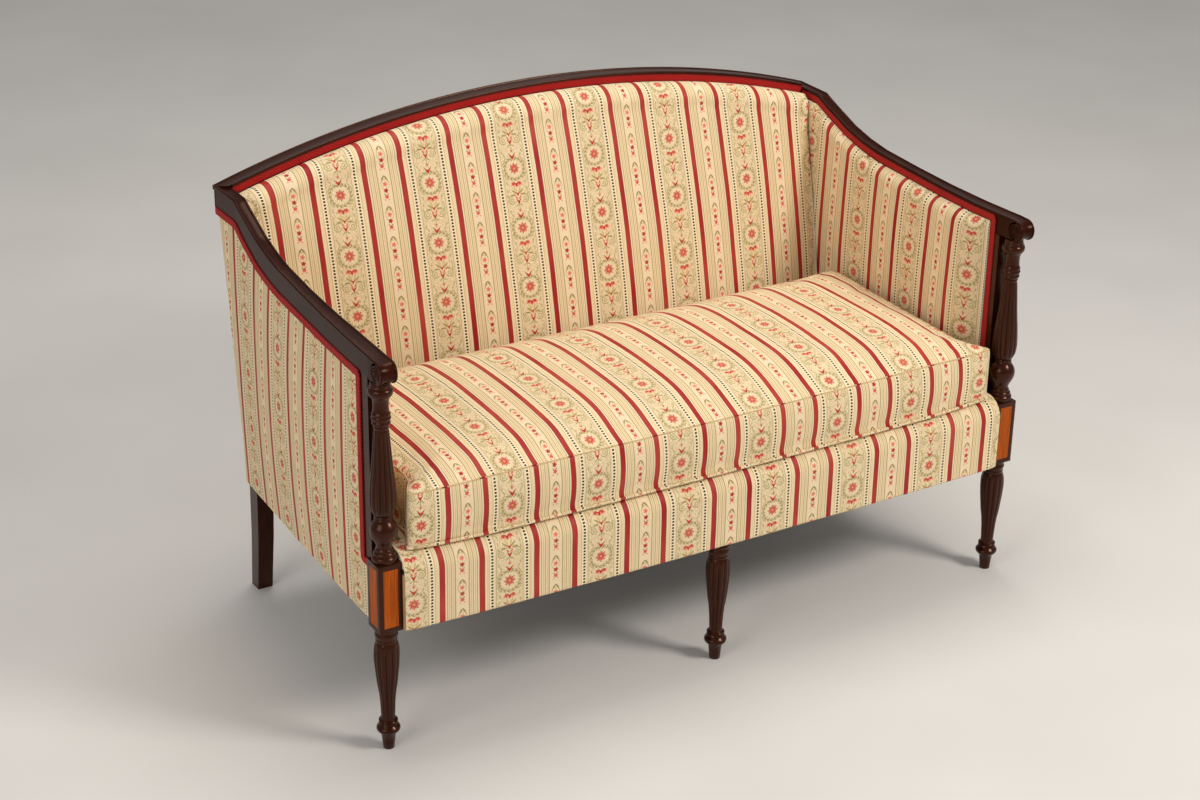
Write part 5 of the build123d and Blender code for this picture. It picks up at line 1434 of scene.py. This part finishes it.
# Floor, light and camera
clear_selection()
bpy.ops.mesh.primitive_plane_add(size=40, location=(0, 0, 0))
floor = settle(bpy.context.object, "studio_floor")
floor_finish = Finish("pale_floor")
soft_marks = floor_finish.noise(floor_finish.object_place((1, 1, 1)), 2.0, 2.0)
paint_with(floor, floor_finish.surface(
    Base_Color=floor_finish.ramp(soft_marks, (0.3, tint(214, 212, 208)), (0.7, tint(220, 218, 214))), Roughness=0.8,
))


def softbox(name, place, target, size, power, colour):
    data = bpy.data.lights.new(name, "AREA")
    data.shape = "RECTANGLE"
    data.size, data.size_y = size
    data.energy = power
    data.color = colour
    lamp = bpy.data.objects.new(name, data)
    bpy.context.collection.objects.link(lamp)
    lamp.location = place
    lamp.rotation_euler = (Vector(target) - Vector(place)).to_track_quat("-Z", "Y").to_euler()


softbox("key_light", (1.9, -2.9, 3.1), (0, 0, 0.5), (1.1, 1.1), 100, (1.0, 0.945, 0.88))
softbox("side_light", (-3.6, -1.6, 2.2), (0, 0, 0.5), (2.0, 2.0), 44, (1.0, 0.95, 0.92))
softbox("top_light", (0.2, 0.6, 3.6), (0, 0, 0.4), (1.8, 1.8), 48, (1.0, 0.97, 0.93))
world = bpy.data.worlds.new("studio")
bpy.context.scene.world = world
world.use_nodes = True
background = world.node_tree.nodes["Background"]
background.inputs["Color"].default_value = (0.94, 0.92, 0.90, 1)
background.inputs["Strength"].default_value = 0.38

camera_data = bpy.data.cameras.new("camera")
camera_data.lens = 74.56
camera_data.sensor_width = 36
camera_data.clip_end = 60
camera = bpy.data.objects.new("camera", camera_data)
bpy.context.collection.objects.link(camera)
azimuth, elevation, roll = math.radians(-31.32), math.radians(25.0), math.radians(0.95)
backward = Vector((
    math.sin(azimuth) * math.cos(elevation), -math.cos(azimuth) * math.cos(elevation), math.sin(elevation)
))
level = Vector((0, 0, 1)).cross(backward).normalized()
upward = backward.cross(level)
right = level * math.cos(roll) + upward * math.sin(roll)
up = upward * math.cos(roll) - level * math.sin(roll)
camera.matrix_world = Matrix.Translation((-2.259, -3.6366, 2.380)) @ Matrix(
    ((right.x, up.x, backward.x), (right.y, up.y, backward.y), (right.z, up.z, backward.z))
).to_4x4()
bpy.context.scene.camera = camera
bpy.context.scene.view_settings.view_transform = "Standard"

bpy.context.view_layer.update()
